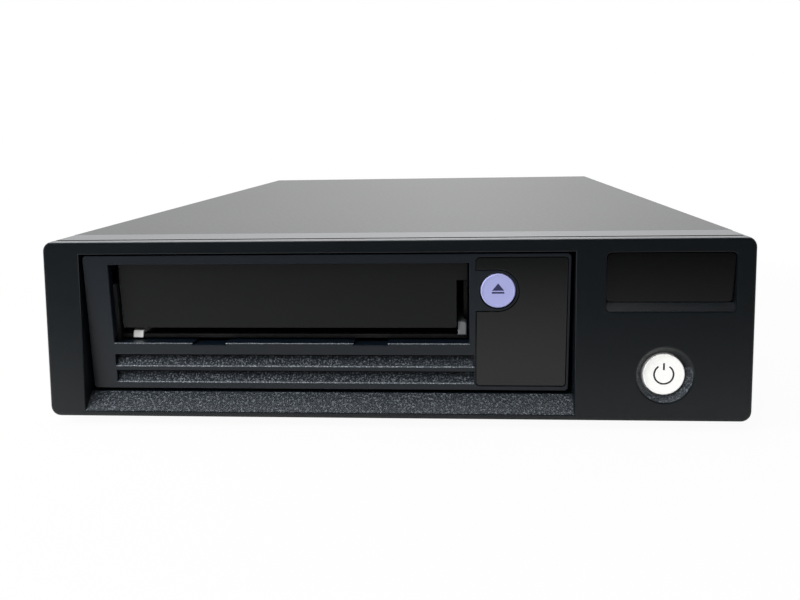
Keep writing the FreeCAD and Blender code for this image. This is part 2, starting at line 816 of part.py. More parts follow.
def slot_cut():
    cut = box((slot_centre - slot_half, slot_centre + slot_half), (bezel_front - 2, bezel_back + 2),
              (slot_low, slot_high))
    for side in (-1, 1):
        middle = slot_centre + side * notch_spacing / 2
        cut = cut.fuse(box((middle - notch_width / 2, middle + notch_width / 2),
                           (bezel_front - 2, bezel_back + 2), (slot_low - notch_depth, slot_low + 1)))
    return cut


door_front = bezel_front + door_setback
hinge_y = door_front + door_barrel_radius
hinge_z = slot_high
door_left = slot_centre - slot_half + door_gap_left
door_right = slot_centre + slot_half - door_gap_right
door_low = slot_low + door_rise
ear_high = slot_low + 18.9


def make_drive_bezel():
    outer = panel((bezel_left, bezel_right), (bezel_front, bezel_back), (bezel_bottom, bezel_top),
                  bezel_corner)
    skirt = 1.6
    hollow = box((bezel_left + skirt, bezel_right - skirt), (wall_back, bezel_back + 1),
                 (bezel_bottom + skirt, bezel_top - skirt))
    groove_left = slot_centre - slot_half - 0.1
    groove_right = slot_centre + slot_half + groove_overrun
    ribs = box((groove_left - 2, groove_right + 1), (wall_back - 0.5, wall_back + 2.6),
               (bezel_bottom + 0.8, slot_low - notch_depth - 0.2))
    throat = box((slot_centre - slot_half - 2, slot_centre + slot_half + 1),
                 (wall_back - 0.5, bezel_back - 1), (slot_low - 2, slot_low))
    shell = outer.cut(hollow).fuse([ribs, throat])
    shell = shell.cut(slot_cut())
    for rise in groove_rises:
        low = bezel_bottom + rise
        high = low + groove_height
        deep = bezel_front + groove_depth
        profile = [(bezel_front - 1, low - 1.2), (deep, high - 0.9), (deep, high), (bezel_front - 1, high)]
        shell = shell.cut(prism_x(profile, (groove_left, groove_right)))
    pocket_depth = window_thickness + 0.05
    shell = shell.cut(window_outline((bezel_front - 1, bezel_front + pocket_depth), 0.0))
    glass = box((window_left + 3, window_right - 3), (bezel_front, wall_back + 1),
                (window_low + 3, eject_z - island_radius - 3))
    shell = shell.cut(glass)
    barrel = faceted(island_radius + 1.2, (eject_x, bezel_front + pocket_depth, eject_z),
                     (eject_x, wall_back, eject_z), 24)
    shell = shell.fuse(barrel)
    shell = shell.cut(faceted(eject_radius + 0.3, (eject_x, bezel_front - 1, eject_z),
                              (eject_x, wall_back + 5, eject_z), 48))
    for x, z in panel_board_bosses():
        shell = shell.fuse(faceted(1.8, (x, wall_back - 0.5, z), (x, board_front, z)))
    bore = door_pin_radius + bore_gap
    for x in (slot_centre - slot_half - 2.2, slot_centre + slot_half + 0.2):
        ear = box((x, x + 2.0), (wall_back - 0.2, bezel_back), (hinge_z - 2.2, bezel_top - 1))
        ear = ear.cut(faceted(bore, (x - 1, hinge_y, hinge_z), (x + 3, hinge_y, hinge_z)))
        shell = shell.fuse(ear)
    return shell.removeSplitter()


def panel_board_bosses():
    return ((window_left + 4.5, window_low + 3), (window_right - 4.5, window_high - 3))


def make_display_window():
    return window_outline((bezel_front, bezel_front + window_thickness), 0.12)


def make_eject_button():
    front = bezel_front - 0.35
    flange_y = wall_back + 0.3
    cap = faceted(eject_radius, (eject_x, front, eject_z), (eject_x, flange_y + 1.0, eject_z), 48)
    cap = bevel_front(cap, 0.3, front)
    flange = faceted(eject_radius + 1.1, (eject_x, flange_y, eject_z), (eject_x, flange_y + 1.0, eject_z), 24)
    stem = faceted(1.5, (eject_x, flange_y, eject_z), (eject_x, flange_y + 1.4, eject_z))
    return cap.fuse([flange, stem])


def make_front_panel_board():
    x = (window_left + 1.5, body_right - cast_wall - 0.6)
    return box(x, (board_front, board_front + 1.2), (floor_top + 0.6, body_high - 1.2))


def make_panel_components():
    """Indicator block behind the window and the switch behind the eject button, on one board."""
    switch_front = wall_back + 0.3 + 1.4 + eject_travel + 0.1
    switch = box((eject_x - 3, eject_x + 3), (switch_front, board_front), (eject_z - 3, eject_z + 3))
    display = box((window_left + 4, window_right - 4), (board_front - 2.6, board_front),
                  (window_low + 8, window_low + 18))
    return Part.makeCompound([switch, display])


def make_cartridge_door():
    flap = box((door_left, door_right), (door_front, door_front + door_thickness), (door_low, hinge_z))
    lower = [edge for edge in flap.Edges if edge.CenterOfMass.z < door_low + 0.01
             and edge.BoundBox.XLength > 1]
    flap = flap.makeFillet(0.5, lower)
    ear = box((door_right - 1, door_right + 3.3), (door_front, door_front + door_thickness),
              (ear_high, hinge_z))
    left_end = slot_centre - slot_half - 4.4
    right_end = slot_centre + slot_half + 2.0
    barrel = rod(door_barrel_radius, (door_left, hinge_y, hinge_z), (door_right + 3.3, hinge_y, hinge_z))
    pin = faceted(door_pin_radius, (left_end, hinge_y, hinge_z), (right_end, hinge_y, hinge_z))
    return flap.fuse([ear, barrel, pin]).removeSplitter()


def make_door_spring():
    """Close-wound torsion spring on the hinge's left pin end, drawn as its sleeve and two legs."""
    x = slot_centre - slot_half - 2.2
    coil = faceted(1.2, (x - 2.2, hinge_y, hinge_z), (x, hinge_y, hinge_z))
    coil = coil.cut(faceted(door_pin_radius + 0.1, (x - 3, hinge_y, hinge_z), (x + 1, hinge_y, hinge_z)))
    leg = rod(0.25, (x - 1.8, hinge_y + 0.95, hinge_z - 7), (x - 1.8, hinge_y + 0.95, hinge_z))
    return coil.fuse(leg)


# ---------------------------------------------------------------- drive housing
arm_pivot_radius = 3.0


def make_drive_base():
    outer = box((body_left, body_right), (bezel_back, body_back), (body_low, body_high))
    inner = box((body_left + cast_wall, body_right - cast_wall), (bezel_back - 1, body_back - cast_wall),
                (floor_top, body_high + 1))
    base = outer.cut(inner)
    rear_gap = box((body_left + 6, slot_centre + 10), (body_back - cast_wall - 1, body_back + 1),
                   (connector_low - 0.6, body_high + 1))
    base = base.cut(rear_gap)
    wall_x = gear_wall
    web = box((wall_x, wall_x + cast_wall), (small_y - 14, motor_y + 10), (floor_top, motor_z + 12))
    web = web.cut(faceted(2.0, (wall_x - 1, motor_y, motor_z), (wall_x + 3, motor_y, motor_z)))
    stub = faceted(1.5, (slot_centre + slider_half + 1.6, small_y, small_z), (wall_x, small_y, small_z))
    post = faceted(arm_pivot_radius, (*arm_pivot, floor_top), (*arm_pivot, arm_level - 0.2), 16)
    spigot = faceted(2.0, (*arm_pivot, arm_level - 0.2), (*arm_pivot, arm_level + 5))
    base = base.fuse([web, stub, post, spigot])
    for x in (body_left, body_right - 8):
        base = base.fuse(box((x, x + 8), (body_back - 10, body_back), (floor_top, body_high)))
    for x, y, z, sign in side_screw_places():
        base = base.cut(faceted(screw_radius - 0.02, (x, y, z), (x - sign * 5, y, z)))
    return base.removeSplitter()


def side_screw_places():
    """Rail screws: where each enters the drive's side, and which way its head faces."""
    z = body_low + 10.0
    places = []
    for y in (bezel_back + 58, bezel_back + 137):
        places.append((body_left, y, z, -1))
        places.append((body_right, y, z, 1))
    return places


def make_drive_cover():
    lid = box((body_left, body_right), (bezel_back, body_back), (body_high, body_high + lid_sheet))
    lid = lid.cut(box((drive_centre + 30, drive_centre + 50), (bezel_back + 20, bezel_back + 50),
                      (body_high - 1, body_high + 2)))
    for x in (main_board_x[0] + 5, main_board_x[1] - 5):
        for y in (main_board_y[0] + 5, main_board_y[1] - 10):
            lid = lid.fuse(faceted(2.5, (x, y, main_board_low + board_thickness), (x, y, body_high)))
    return lid.removeSplitter()


main_board_low = 44.2
main_board_x = (body_left + cast_wall + 10, body_right - cast_wall - 9)
main_board_y = (tray_stop + 22, body_back - cast_wall - 4)
connector_low = main_board_low - 6.5
cable_x = slot_centre - 12.8


def make_main_board():
    board = box(main_board_x, main_board_y, (main_board_low, main_board_low + board_thickness))
    return board


def make_board_connectors():
    y = (main_board_y[1] - 3.5, body_back + 2.5)
    z = (connector_low, main_board_low)
    data = box((cable_x - 18, cable_x + 18), y, z)
    power = box((power_cable_x - 7, power_cable_x + 7), y, z)
    return Part.makeCompound([data, power])


power_cable_x = cable_x - 30.0


def make_drive_rails():
    rails = []
    for side, edge, foot in ((-1, body_left, rail_foot_left), (1, body_right, rail_foot_right)):
        y = (bezel_back + 24, bezel_back + 170)
        web = box(sorted((edge, edge + side * sheet)), y, (sheet, body_low + 18))
        foot_plate = box(sorted((edge, edge + side * foot)), y, (sheet, 2 * sheet))
        shelf = box(sorted((edge - side * 4, edge + side * sheet)), y, (body_low - sheet, body_low))
        rail = web.fuse([foot_plate, shelf])
        for x, sy, z, sign in side_screw_places():
            if sign == side:
                rail = rail.cut(faceted(screw_radius + 0.1, (x - sign, sy, z), (x + 3 * sign, sy, z)))
        rails.append(rail.removeSplitter())
    return Part.makeCompound(rails)


def make_drive_screws():
    screws = []
    for x, y, z, sign in side_screw_places():
        seat = x + sign * sheet
        head = faceted(screw_head_radius, (seat, y, z), (seat + sign * 1.6, y, z))
        shank = faceted(screw_radius - 0.02, (seat, y, z), (x - sign * 4.5, y, z))
        screws.append(head.fuse(shank))
    return Part.makeCompound(screws)


# ---------------------------------------------------------------- cartridge loader
def at_side(side, low, high):
    """An x span between two distances from the slot's centre line, to the left or right of it."""
    return sorted((slot_centre + side * low, slot_centre + side * high))


def tray_pins():
    return [(pin_front + index * loader_pin_pitch, pin_z) for index in range(2)]


def make_cartridge_tray():
    back_right = tray_stop - tray_corner
    x = at_side(1, -tray_half, tray_half)
    outline = [(x[0], tray_front), (x[1], tray_front), (x[1], back_right), (slot_centre + 26, back_right),
               (slot_centre + 10, tray_stop + tray_sheet), (x[0], tray_stop + tray_sheet)]
    floor = prism_z(outline, (tray_low, tray_low + tray_sheet))
    hole_y = chuck_y - loader_travel
    floor = floor.cut(faceted(chuck_radius + 12, (slot_centre, hole_y, tray_low - 1),
                              (slot_centre, hole_y, tray_low + 3), 32))
    wall_high = tray_low + tray_wall_height
    left = box(at_side(-1, tray_half - tray_sheet, tray_half), (tray_front + 5, tray_stop + tray_sheet),
               (tray_low, wall_high))
    right = box(at_side(1, tray_half - tray_sheet, tray_half), (tray_front + 5, back_right),
                (tray_low, wall_high))
    stop = box((x[0] + tray_sheet + corner_relief, slot_centre + 6), (tray_stop, tray_stop + tray_sheet),
               (tray_low, wall_high - 4))
    tray = floor.fuse([left, right, stop])
    for side in (-1, 1):
        for y, z in tray_pins():
            start = (slot_centre + side * (tray_half - 0.5), y, z)
            end = (slot_centre + side * pin_reach, y, z)
            tray = tray.fuse(faceted(loader_pin_radius, start, end))
    return tray.removeSplitter()


def make_tray_guides():
    """Rails that centre the cartridge in its tray; the right one ends in the nose beside the door."""
    inner = tray_half - tray_sheet
    base = tray_low + tray_sheet
    right = box(at_side(1, inner - 1.8, inner), (tray_front + 3, tray_stop - 14), (base, slot_low + 5.9))
    nose = panel(at_side(1, inner - 1.8, tray_half - 0.2), (tray_front - 1.4, tray_front + 3),
                 (base, slot_low + 5.9), 0.8)
    left = box(at_side(-1, inner - 1.8, inner), (tray_front + 26, tray_stop - 2), (base, slot_low + 5.9))
    return Part.makeCompound([right.fuse(nose).removeSplitter(), left])


def make_cartridge_catch():
    """White spring catch that holds the cartridge's notch, at the tray's front left."""
    x = at_side(-1, tray_half - 7.0, tray_half - 3.7)
    top = tray_low + tray_sheet
    profile = [(tray_front + 0.4, top), (tray_front + 0.4, top + 0.9), (tray_front + 1.6, top + 1.6),
               (tray_front + 14, top + 0.6), (tray_front + 14, top)]
    return prism_x(profile, x)


def make_loader_plate(side):
    """Fixed side plate: slanting slots lead the tray's pins back and down."""
    y = (loader_front + 0.5, tray_stop + loader_travel - tray_corner)
    x = at_side(side, plate_half, plate_half + loader_plate_sheet)
    plate = box(x, y, (floor_top, pin_z + 10))
    foot = box(at_side(side, plate_half - 3.0, plate_half + loader_plate_sheet),
               (y[1] - 20, y[1]), (floor_top, floor_top + loader_plate_sheet))
    plate = plate.fuse(foot)
    through = (x[0] - 1, x[1] + 1)
    for pin_y, z in tray_pins():
        plate = plate.cut(slot_hole((pin_y, z), (pin_y + loader_travel, z - loader_drop),
                                    loader_pin_radius + 0.1, through))
    plate = plate.cut(rod(sync_radius + bore_gap, (x[0] - 1, sync_y, sync_z), (x[1] + 1, sync_y, sync_z)))
    return plate.removeSplitter()


def rack_tooth(middle):
    low = rack_line - 0.8 * gear_module
    root = rack_line + gear_module
    return [(middle - 0.30 * pitch, root), (middle - 0.11 * pitch, low),
            (middle + 0.11 * pitch, low), (middle + 0.30 * pitch, root)]


def make_loader_slider(side):
    """Rack plate: upright slots push the tray's pins along the slanting ones."""
    x = at_side(side, slider_half, slider_half + loader_plate_sheet)
    root = rack_line + gear_module
    back = pin_front + loader_pin_pitch + 5
    outline = [(loader_front, root)]
    count = int((sync_y + 2 - loader_front) / pitch)
    for index in range(-count, 1):
        middle = sync_y + (index + 0.5) * pitch
        if middle > loader_front + 0.5 * pitch:
            outline += rack_tooth(middle)
    outline += [(back, root), (back, pin_z + 5), (loader_front, pin_z + 5)]
    plate = prism_x(outline, x)
    through = (x[0] - 1, x[1] + 1)
    for pin_y, z in tray_pins():
        plate = plate.cut(slot_hole((pin_y, z + 0.01), (pin_y, z - loader_drop), loader_pin_radius + 0.1,
                                    through))
    window = box(through, (pin_front + 12, back - 15), (root + 4, pin_z))
    return plate.cut(window)


small_direction = math.radians(75.0)
motor_direction = math.radians(15.0)
sync_phase = math.pi / 2
small_distance = pitch_radius(sync_teeth) + pitch_radius(small_teeth)
large_distance = pitch_radius(large_teeth) + pitch_radius(motor_teeth)
small_y = sync_y + small_distance * math.cos(small_direction)
small_z = sync_z + small_distance * math.sin(small_direction)
motor_y = small_y + large_distance * math.cos(motor_direction)
motor_z = small_z + large_distance * math.sin(motor_direction)
stage_x = slot_centre + slider_half + loader_plate_sheet + 0.6
gear_wall = stage_x + 4.8 + running_gap


def make_sync_shaft():
    """Shaft under the tray: a pinion at each end drives both racks alike."""
    ends = [slot_centre - slider_half - loader_plate_sheet - 0.4, stage_x + 2.6]
    shaft = rod(sync_radius, (ends[0], sync_y, sync_z), (ends[1], sync_y, sync_z))
    outline = gear_outline((sync_y, sync_z), sync_teeth, sync_phase)
    left = prism_x(outline, at_side(-1, slider_half - 0.2, slider_half + loader_plate_sheet + 0.2))
    right = prism_x(outline, (slot_centre + slider_half - 0.2, stage_x + 2.4))
    return shaft.fuse([left, right])


def make_loader_gear():
    """Reduction gear: the small ring turns the sync shaft, the motor turns the large ring."""
    small_phase = meshed_phase(sync_phase, sync_teeth, small_teeth, small_direction)
    small = prism_x(gear_outline((small_y, small_z), small_teeth, small_phase), (stage_x, stage_x + 3))
    large = prism_x(gear_outline((small_y, small_z), large_teeth, 0.0), (stage_x + 2.8, stage_x + 4.8))
    gear = small.fuse(large)
    bore = rod(1.5 + bore_gap, (stage_x - 1, small_y, small_z), (stage_x + 6, small_y, small_z))
    return gear.cut(bore)


def make_motor_pinion():
    phase = meshed_phase(0.0, large_teeth, motor_teeth, motor_direction)
    outline = gear_outline((motor_y, motor_z), motor_teeth, phase)
    pinion = prism_x(outline, (stage_x + 2.6, stage_x + 4.8))
    bore = rod(1.0 + bore_gap, (stage_x + 2, motor_y, motor_z), (stage_x + 6, motor_y, motor_z))
    return pinion.cut(bore)


def make_loader_motor():
    wall_x = gear_wall + cast_wall
    can = faceted(8.0, (wall_x, motor_y, motor_z), (body_right - cast_wall - 1, motor_y, motor_z), 24)
    nose = faceted(1.9, (wall_x - cast_wall, motor_y, motor_z), (wall_x, motor_y, motor_z))
    shaft = faceted(1.0, (stage_x + 2.4, motor_y, motor_z), (wall_x, motor_y, motor_z))
    return can.fuse([nose, shaft])


# ---------------------------------------------------------------- tape path
leader_pin = (slot_centre + cartridge_width / 2 - 8.8, tray_stop + loader_travel - 6.0)
hub_centre = (reel_x, reel_y)


def find_arm_pivot():
    """The point as far from the leader pin as from the reel's hub, on the tape path's inner side."""
    span = (hub_centre[0] - leader_pin[0], hub_centre[1] - leader_pin[1])
    length = math.hypot(*span)
    middle = ((hub_centre[0] + leader_pin[0]) / 2, (hub_centre[1] + leader_pin[1]) / 2)
    return (middle[0] + arm_bow * span[1] / length, middle[1] - arm_bow * span[0] / length)


arm_pivot = find_arm_pivot()
arm_radius = math.hypot(leader_pin[0] - arm_pivot[0], leader_pin[1] - arm_pivot[1])
arm_start = math.degrees(math.atan2(leader_pin[1] - arm_pivot[1], leader_pin[0] - arm_pivot[0]))
arm_end = math.degrees(math.atan2(hub_centre[1] - arm_pivot[1], hub_centre[0] - arm_pivot[0]))
arm_swing = arm_end - arm_start
threader_distance = pitch_radius(threader_teeth) + pitch_radius(threader_motor_teeth)
threader_motor_place = polar(arm_pivot, threader_distance, threader_motor_angle)
roller_places = [polar(arm_pivot, arm_radius - roller_inset, angle) for angle in roller_angles]
head_tip = arm_pivot[0] + arm_radius - 6.2
head_y = arm_pivot[1]


def flat_motor(x, y):
    """The can of a flat brushless motor."""
    return faceted(motor_radius - 2, (x, y, floor_top), (x, y, floor_top + motor_height), 36)


def make_supply_motor():
    spindle = faceted(spindle_radius, (slot_centre, chuck_y, floor_top + motor_height - 1),
                      (slot_centre, chuck_y, floor_top + motor_height + 4))
    return flat_motor(slot_centre, chuck_y).fuse(spindle)


def make_supply_chuck():
    """Coupling disc: a ring of pointed teeth grips the cartridge's reel."""
    low = floor_top + motor_height + 0.3
    disc = faceted(chuck_radius, (slot_centre, chuck_y, low), (slot_centre, chuck_y, low + 2.0), 36)
    top = low + 2.0
    boss = faceted(5.0, (slot_centre, chuck_y, low), (slot_centre, chuck_y, low + 3.0), 16)
    disc = disc.fuse(boss)
    step = 2 * math.pi / chuck_teeth
    for index in range(chuck_teeth):
        middle = index * step
        outer = chuck_radius - 0.4
        inner = chuck_radius - 4.5
        half = 0.42 * step
        corners = []
        for radius in (inner, outer):
            for angle in (middle - half, middle + half):
                corners.append(V(slot_centre + radius * math.cos(angle),
                                 chuck_y + radius * math.sin(angle), top - 0.1))
        ridge = [V(slot_centre + radius * math.cos(middle), chuck_y + radius * math.sin(middle), top + 1.8)
                 for radius in (inner + 0.3, outer - 0.3)]
        faces = [(corners[0], corners[2], corners[3], corners[1]),
                 (corners[0], corners[1], ridge[0]),
                 (corners[2], ridge[1], corners[3]),
                 (corners[0], ridge[0], ridge[1]), (corners[0], ridge[1], corners[2]),
                 (corners[1], corners[3], ridge[1]), (corners[1], ridge[1], ridge[0])]
        sides = []
        for face in faces:
            sides.append(Part.Face(Part.makePolygon(list(face) + [face[0]])))
        tooth = Part.Solid(Part.Shell(sides))
        if tooth.Volume < 0:
            tooth.reverse()
        disc = disc.fuse(tooth)
    bore = rod(spindle_radius + bore_gap, (slot_centre, chuck_y, low - 1), (slot_centre, chuck_y, low + 6))
    return disc.cut(bore)


def make_takeup_motor():
    low = tape_low - reel_wall - 0.3
    can = faceted(motor_radius - 2, (*hub_centre, floor_top), (*hub_centre, low), 36)
    spindle = faceted(spindle_radius, (*hub_centre, low - 1), (*hub_centre, tape_high - 2))
    return can.fuse(spindle)


def make_takeup_reel():
    """Machine reel: two flanges on a hollow hub, slotted along the arm's path for the leader pin."""
    low = tape_low - reel_wall
    high = tape_high + reel_wall
    lower = faceted(reel_radius, (*hub_centre, low), (*hub_centre, tape_low), 48)
    upper = faceted(reel_radius, (*hub_centre, tape_high), (*hub_centre, high), 48)
    hub = faceted(reel_hub_radius, (*hub_centre, tape_low - 0.1), (*hub_centre, high), 32)
    hollow = faceted(reel_hub_radius - 4, (*hub_centre, tape_low), (*hub_centre, high + 1), 32)
    upper = upper.fuse(hub).cut(hollow)
    boss = faceted(5.0, (*hub_centre, low), (*hub_centre, tape_high - 5), 16)
    reel = lower.fuse([upper, boss])
    sweep = Part.makeCylinder(arm_radius + 2.4, high - tape_low + 2, V(*arm_pivot, tape_low), V(0, 0, 1),
                              arm_end - 85.0)
    core = Part.makeCylinder(arm_radius - 2.4, high - tape_low + 4, V(*arm_pivot, tape_low - 1))
    path = sweep.cut(core)
    path.rotate(V(*arm_pivot, 0), V(0, 0, 1), 85.0)
    beyond = rod(reel_hub_radius - 3, (*hub_centre, tape_low), (*hub_centre, tape_low + 0.1))
    path = path.cut(beyond)
    path = path.cut(faceted(6.5, (*hub_centre, tape_low - 1), (*hub_centre, high + 1), 16))
    reel = reel.cut(path)
    bore = rod(spindle_radius + bore_gap, (*hub_centre, low - 1), (*hub_centre, tape_high))
    return reel.cut(bore).removeSplitter()


def make_guide_roller(place):
    """Flanged roller that turns on its pin."""
    low = tape_low - 0.6
    high = tape_high + 0.6
    barrel = faceted(roller_radius, (*place, low), (*place, high), 16)
    for z in ((low, low + 1.0), (high - 1.0, high)):
        barrel = barrel.fuse(faceted(roller_flange_radius, (*place, z[0]), (*place, z[1]), 16))
    bore = rod(roller_pin_radius + bore_gap, (*place, low - 1), (*place, high + 1))
    return barrel.cut(bore).removeSplitter()


def make_roller_pins():
    pins = []
    for place in roller_places:
        seat = faceted(2.8, (*place, floor_top), (*place, tape_low - 0.8))
        pins.append(seat.fuse(faceted(roller_pin_radius, (*place, floor_top), (*place, tape_high + 1.2))))
    return Part.makeCompound(pins)


post_x = head_tip - 13.5
post_spread = 6.9
post_radius = 1.5


def make_head_frame():
    foot = box((post_x - 4, post_x + 9), (head_y - 12, head_y + 12), (floor_top, floor_top + 1.6))
    for side in (-1, 1):
        y = head_y + side * post_spread
        foot = foot.fuse(faceted(post_radius, (post_x, y, floor_top), (post_x, y, tape_high + 2.8)))
    return foot


def make_head_carriage():
    """Slides up and down on two posts; its coil dips into the actuator's gap."""
    low = tape_low - 2.0
    high = tape_high - 0.4
    block = box((post_x - 4, post_x + 5.5), (head_y - 9.9, head_y + 9.9), (low, high))
    for side in (-1, 1):
        y = head_y + side * post_spread
        block = block.cut(faceted(post_radius + bore_gap, (post_x, y, low - 1), (post_x, y, high + 1)))
    block = block.cut(box((post_x - 2.2, post_x + 3.5), (head_y - 4, head_y + 4), (low - 1, high + 1)))
    bridge = box((coil_x, post_x - 3), (head_y - 5, head_y + 5), (high - 1.5, high))
    coil = box((coil_x, coil_x + 1.8), (head_y - 7, head_y + 7), (tape_low - 5, high))
    return block.fuse([bridge, coil]).removeSplitter()


coil_x = post_x - 11.4


def make_tape_head():
    """Three lapped bars with a curved face towards the tape."""
    x0 = post_x + 5.5
    half = 8.0
    low = tape_low
    high = tape_high - 1.4
    body = box((x0, head_tip - 1.2), (head_y - half, head_y + half), (low, high))
    for offset in (-5.0, 0.0, 5.0):
        y = head_y + offset
        bar = box((x0 + 1, head_tip - 0.8), (y - 1.6, y + 1.6), (low, high))
        nose = faceted(1.6, (head_tip - 1.6, y, low), (head_tip - 1.6, y, high), 16)
        body = body.fuse([bar, nose])
    return body.removeSplitter()


def make_head_actuator():
    """Voice-coil yoke: a slotted magnet block."""
    x = (coil_x - 4.8, coil_x + 6.2)
    top = high_of_yoke
    yoke = box(x, (head_y - 10.4, head_y + 10.4), (floor_top, top))
    gap = box((coil_x - 0.5, coil_x + 2.3), (head_y - 8.4, head_y + 8.4), (floor_top + 1.4, top + 1))
    return yoke.cut(gap)


high_of_yoke = tape_high - 1.9 - head_travel - 0.6


def make_threader_arm():
    """Swings the leader pin from the cartridge, round the rollers, to the reel's hub."""
    reach = arm_radius
    plate = box((0, reach), (-3.2, 3.2), (arm_level, arm_level + arm_sheet))
    plate = plate.fuse(faceted(6.0, (0, 0, arm_level), (0, 0, arm_level + arm_sheet), 16))
    plate = plate.cut(box((14, reach - 8), (-1.2, 1.2), (arm_level - 1, arm_level + arm_sheet + 1)))
    grabber = faceted(3.4, (reach, 0, grabber_low), (reach, 0, arm_level + arm_sheet + 1.5))
    jaw = box((reach - 1.2, reach + 1.2), (-4, 4), (grabber_low - 0.5, grabber_low + 0.6))
    grabber = grabber.cut(jaw)
    arm = plate.fuse(grabber)
    arm.rotate(V(0, 0, 0), V(0, 0, 1), arm_start)
    arm.translate(V(*arm_pivot, 0))
    ring = prism_z(gear_outline(arm_pivot, threader_teeth, 0.0), gear_level)
    arm = arm.fuse(ring)
    bore = rod(2.0 + bore_gap, (*arm_pivot, arm_level - 1), (*arm_pivot, arm_level + 6))
    return arm.cut(bore).removeSplitter()


grabber_low = tape_high + reel_wall + 0.8
gear_level = (arm_level + arm_sheet - 0.1, arm_level + arm_sheet + 2.0)


def make_threader_pinion():
    direction = math.radians(threader_motor_angle)
    phase = meshed_phase(0.0, threader_teeth, threader_motor_teeth, direction)
    low = arm_level + arm_sheet + 0.3
    pinion = prism_z(gear_outline(threader_motor_place, threader_motor_teeth, phase), (low, gear_level[1]))
    bore = rod(1.0 + bore_gap, (*threader_motor_place, low - 1), (*threader_motor_place, low + 3))
    return pinion.cut(bore)


def make_threader_motor():
    x, y = threader_motor_place
    can = faceted(6.0, (x, y, floor_top), (x, y, arm_level - 3), 24)
    shaft = faceted(1.0, (x, y, arm_level - 3), (x, y, gear_level[1]))
    return can.fuse(shaft)


# ---------------------------------------------------------------- cables held inside
def make_data_cable():
    """Flat data cable from the drive's rear connector down to the interface board."""
    plug_back = body_back + 12
    start = plug_back
    end = interface_front + 2
    high = (connector_low + main_board_low) / 2
    low = port_low + 5.0
    x = (cable_x - 14, cable_x + 14)
    middle = (start + end) / 2
    bend = (end - start) / 9
    face = strip_outline([(start, high), (middle - bend, high), (middle + bend, low), (end, low)], 1.2,
                         lambda y, z: V(x[0], y, z))
    ribbon = face.extrude(V(x[1] - x[0], 0, 0))
    plug = box((x[0] - 2, x[1] + 2), (body_back + 2.5, plug_back), (connector_low, main_board_low))
    return ribbon.fuse(plug)


def make_power_harness():
    """Four wires side by side, from the supply along the floor and up to the drive's plug."""
    y = (body_back + 3, body_back + 11)
    x = power_cable_x
    floor = sheet + 4
    face = strip_outline([(supply_left - 0.3, supply_board_top + 6), (supply_left - 12, supply_board_top + 5),
                          (supply_left - 30, floor), (x + 22, floor), (x, floor + 10), (x, connector_low)],
                         2.0, lambda u, z: V(u, y[0], z))
    wires = face.extrude(V(0, y[1] - y[0], 0))
    plug = box((x - 7, x + 7), (body_back + 2.5, body_back + 12), (connector_low, main_board_low))
    socket = box((supply_left - 0.3, supply_left + 7), (y[0] - 1, y[1] + 1),
                 (supply_board_top, supply_board_top + 9))
    return wires.fuse([plug, socket])


# ---------------------------------------------------------------- export
def make_all():
    nodes = {
        "front_bezel": make_front_bezel(),
        "badge_plate": make_badge_plate(),
        "power_button": make_power_button(),
        "power_switch_board": make_power_switch_board(),
        "top_cover": make_top_cover(),
        "chassis_base": make_chassis_base(),
        "rubber_feet": make_rubber_feet(),
        "rear_screws": make_rear_screws(),
        "fan_frame": make_fan_frame(),
        "fan_impeller": make_fan_impeller(),
        "mains_inlet": make_mains_inlet(),
        "inlet_pins": make_inlet_pins(),
        "sas_ports": make_sas_ports(),
        "interface_board": make_interface_board(),
        "psu_frame": make_psu_frame(),
        "psu_board": make_psu_board(),
        "psu_transformer": make_psu_transformer(),
        "psu_capacitors": make_psu_capacitors(),
        "data_cable": make_data_cable(),
        "power_harness": make_power_harness(),
        "drive_bezel": make_drive_bezel(),
        "display_window": make_display_window(),
        "eject_button": make_eject_button(),
        "front_panel_board": make_front_panel_board(),
        "panel_components": make_panel_components(),
        "cartridge_door": make_cartridge_door(),
        "door_spring": make_door_spring(),
        "drive_base": make_drive_base(),
        "drive_cover": make_drive_cover(),
        "drive_rails": make_drive_rails(),
        "drive_screws": make_drive_screws(),
        "main_board": make_main_board(),
        "board_connectors": make_board_connectors(),
        "cartridge_tray": make_cartridge_tray(),
        "tray_guides": make_tray_guides(),
        "cartridge_catch": make_cartridge_catch(),
        "loader_plate_left": make_loader_plate(-1),
        "loader_plate_right": make_loader_plate(1),
        "loader_slider_left": make_loader_slider(-1),
        "loader_slider_right": make_loader_slider(1),
        "sync_shaft": make_sync_shaft(),
        "loader_gear": make_loader_gear(),
        "motor_pinion": make_motor_pinion(),
        "loader_motor": make_loader_motor(),
        "supply_motor": make_supply_motor(),
        "supply_chuck": make_supply_chuck(),
        "takeup_motor": make_takeup_motor(),
        "takeup_reel": make_takeup_reel(),
        "roller_pins": make_roller_pins(),
        "head_frame": make_head_frame(),
        "head_carriage": make_head_carriage(),
        "tape_head": make_tape_head(),
        "head_actuator": make_head_actuator(),
        "threader_arm": make_threader_arm(),
        "threader_pinion": make_threader_pinion(),
        "threader_motor": make_threader_motor(),
    }
    for number, place in enumerate(roller_places, start=1):
        nodes["guide_roller_" + str(number)] = make_guide_roller(place)
    return nodes


def export(nodes):
    """Sets the origin under the middle of the footprint and writes one file for each node."""
    os.makedirs("parts", exist_ok=True)
    shift = V(*row_shift)
    for name, shape in nodes.items():
        shape.translate(shift)
        shape.exportStep("parts/" + name + ".step")


export(make_all())
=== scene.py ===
# %% [markdown]
# # A data tape drive, dressed around its CAD model
# A half-height cartridge drive sits in a low desktop case. The case has a dark moulded fascia that
# leans back a little, a folded steel cover, and a recess that frames the drive's own bezel. The CAD
# model gives every size and place. This lesson loads it as a fixed frame, models the shells and
# buttons that the eye rests on with Blender's own tools, and gives every surface a finish.

import json
import math

import bmesh
import bpy
from mathutils import Matrix, Vector


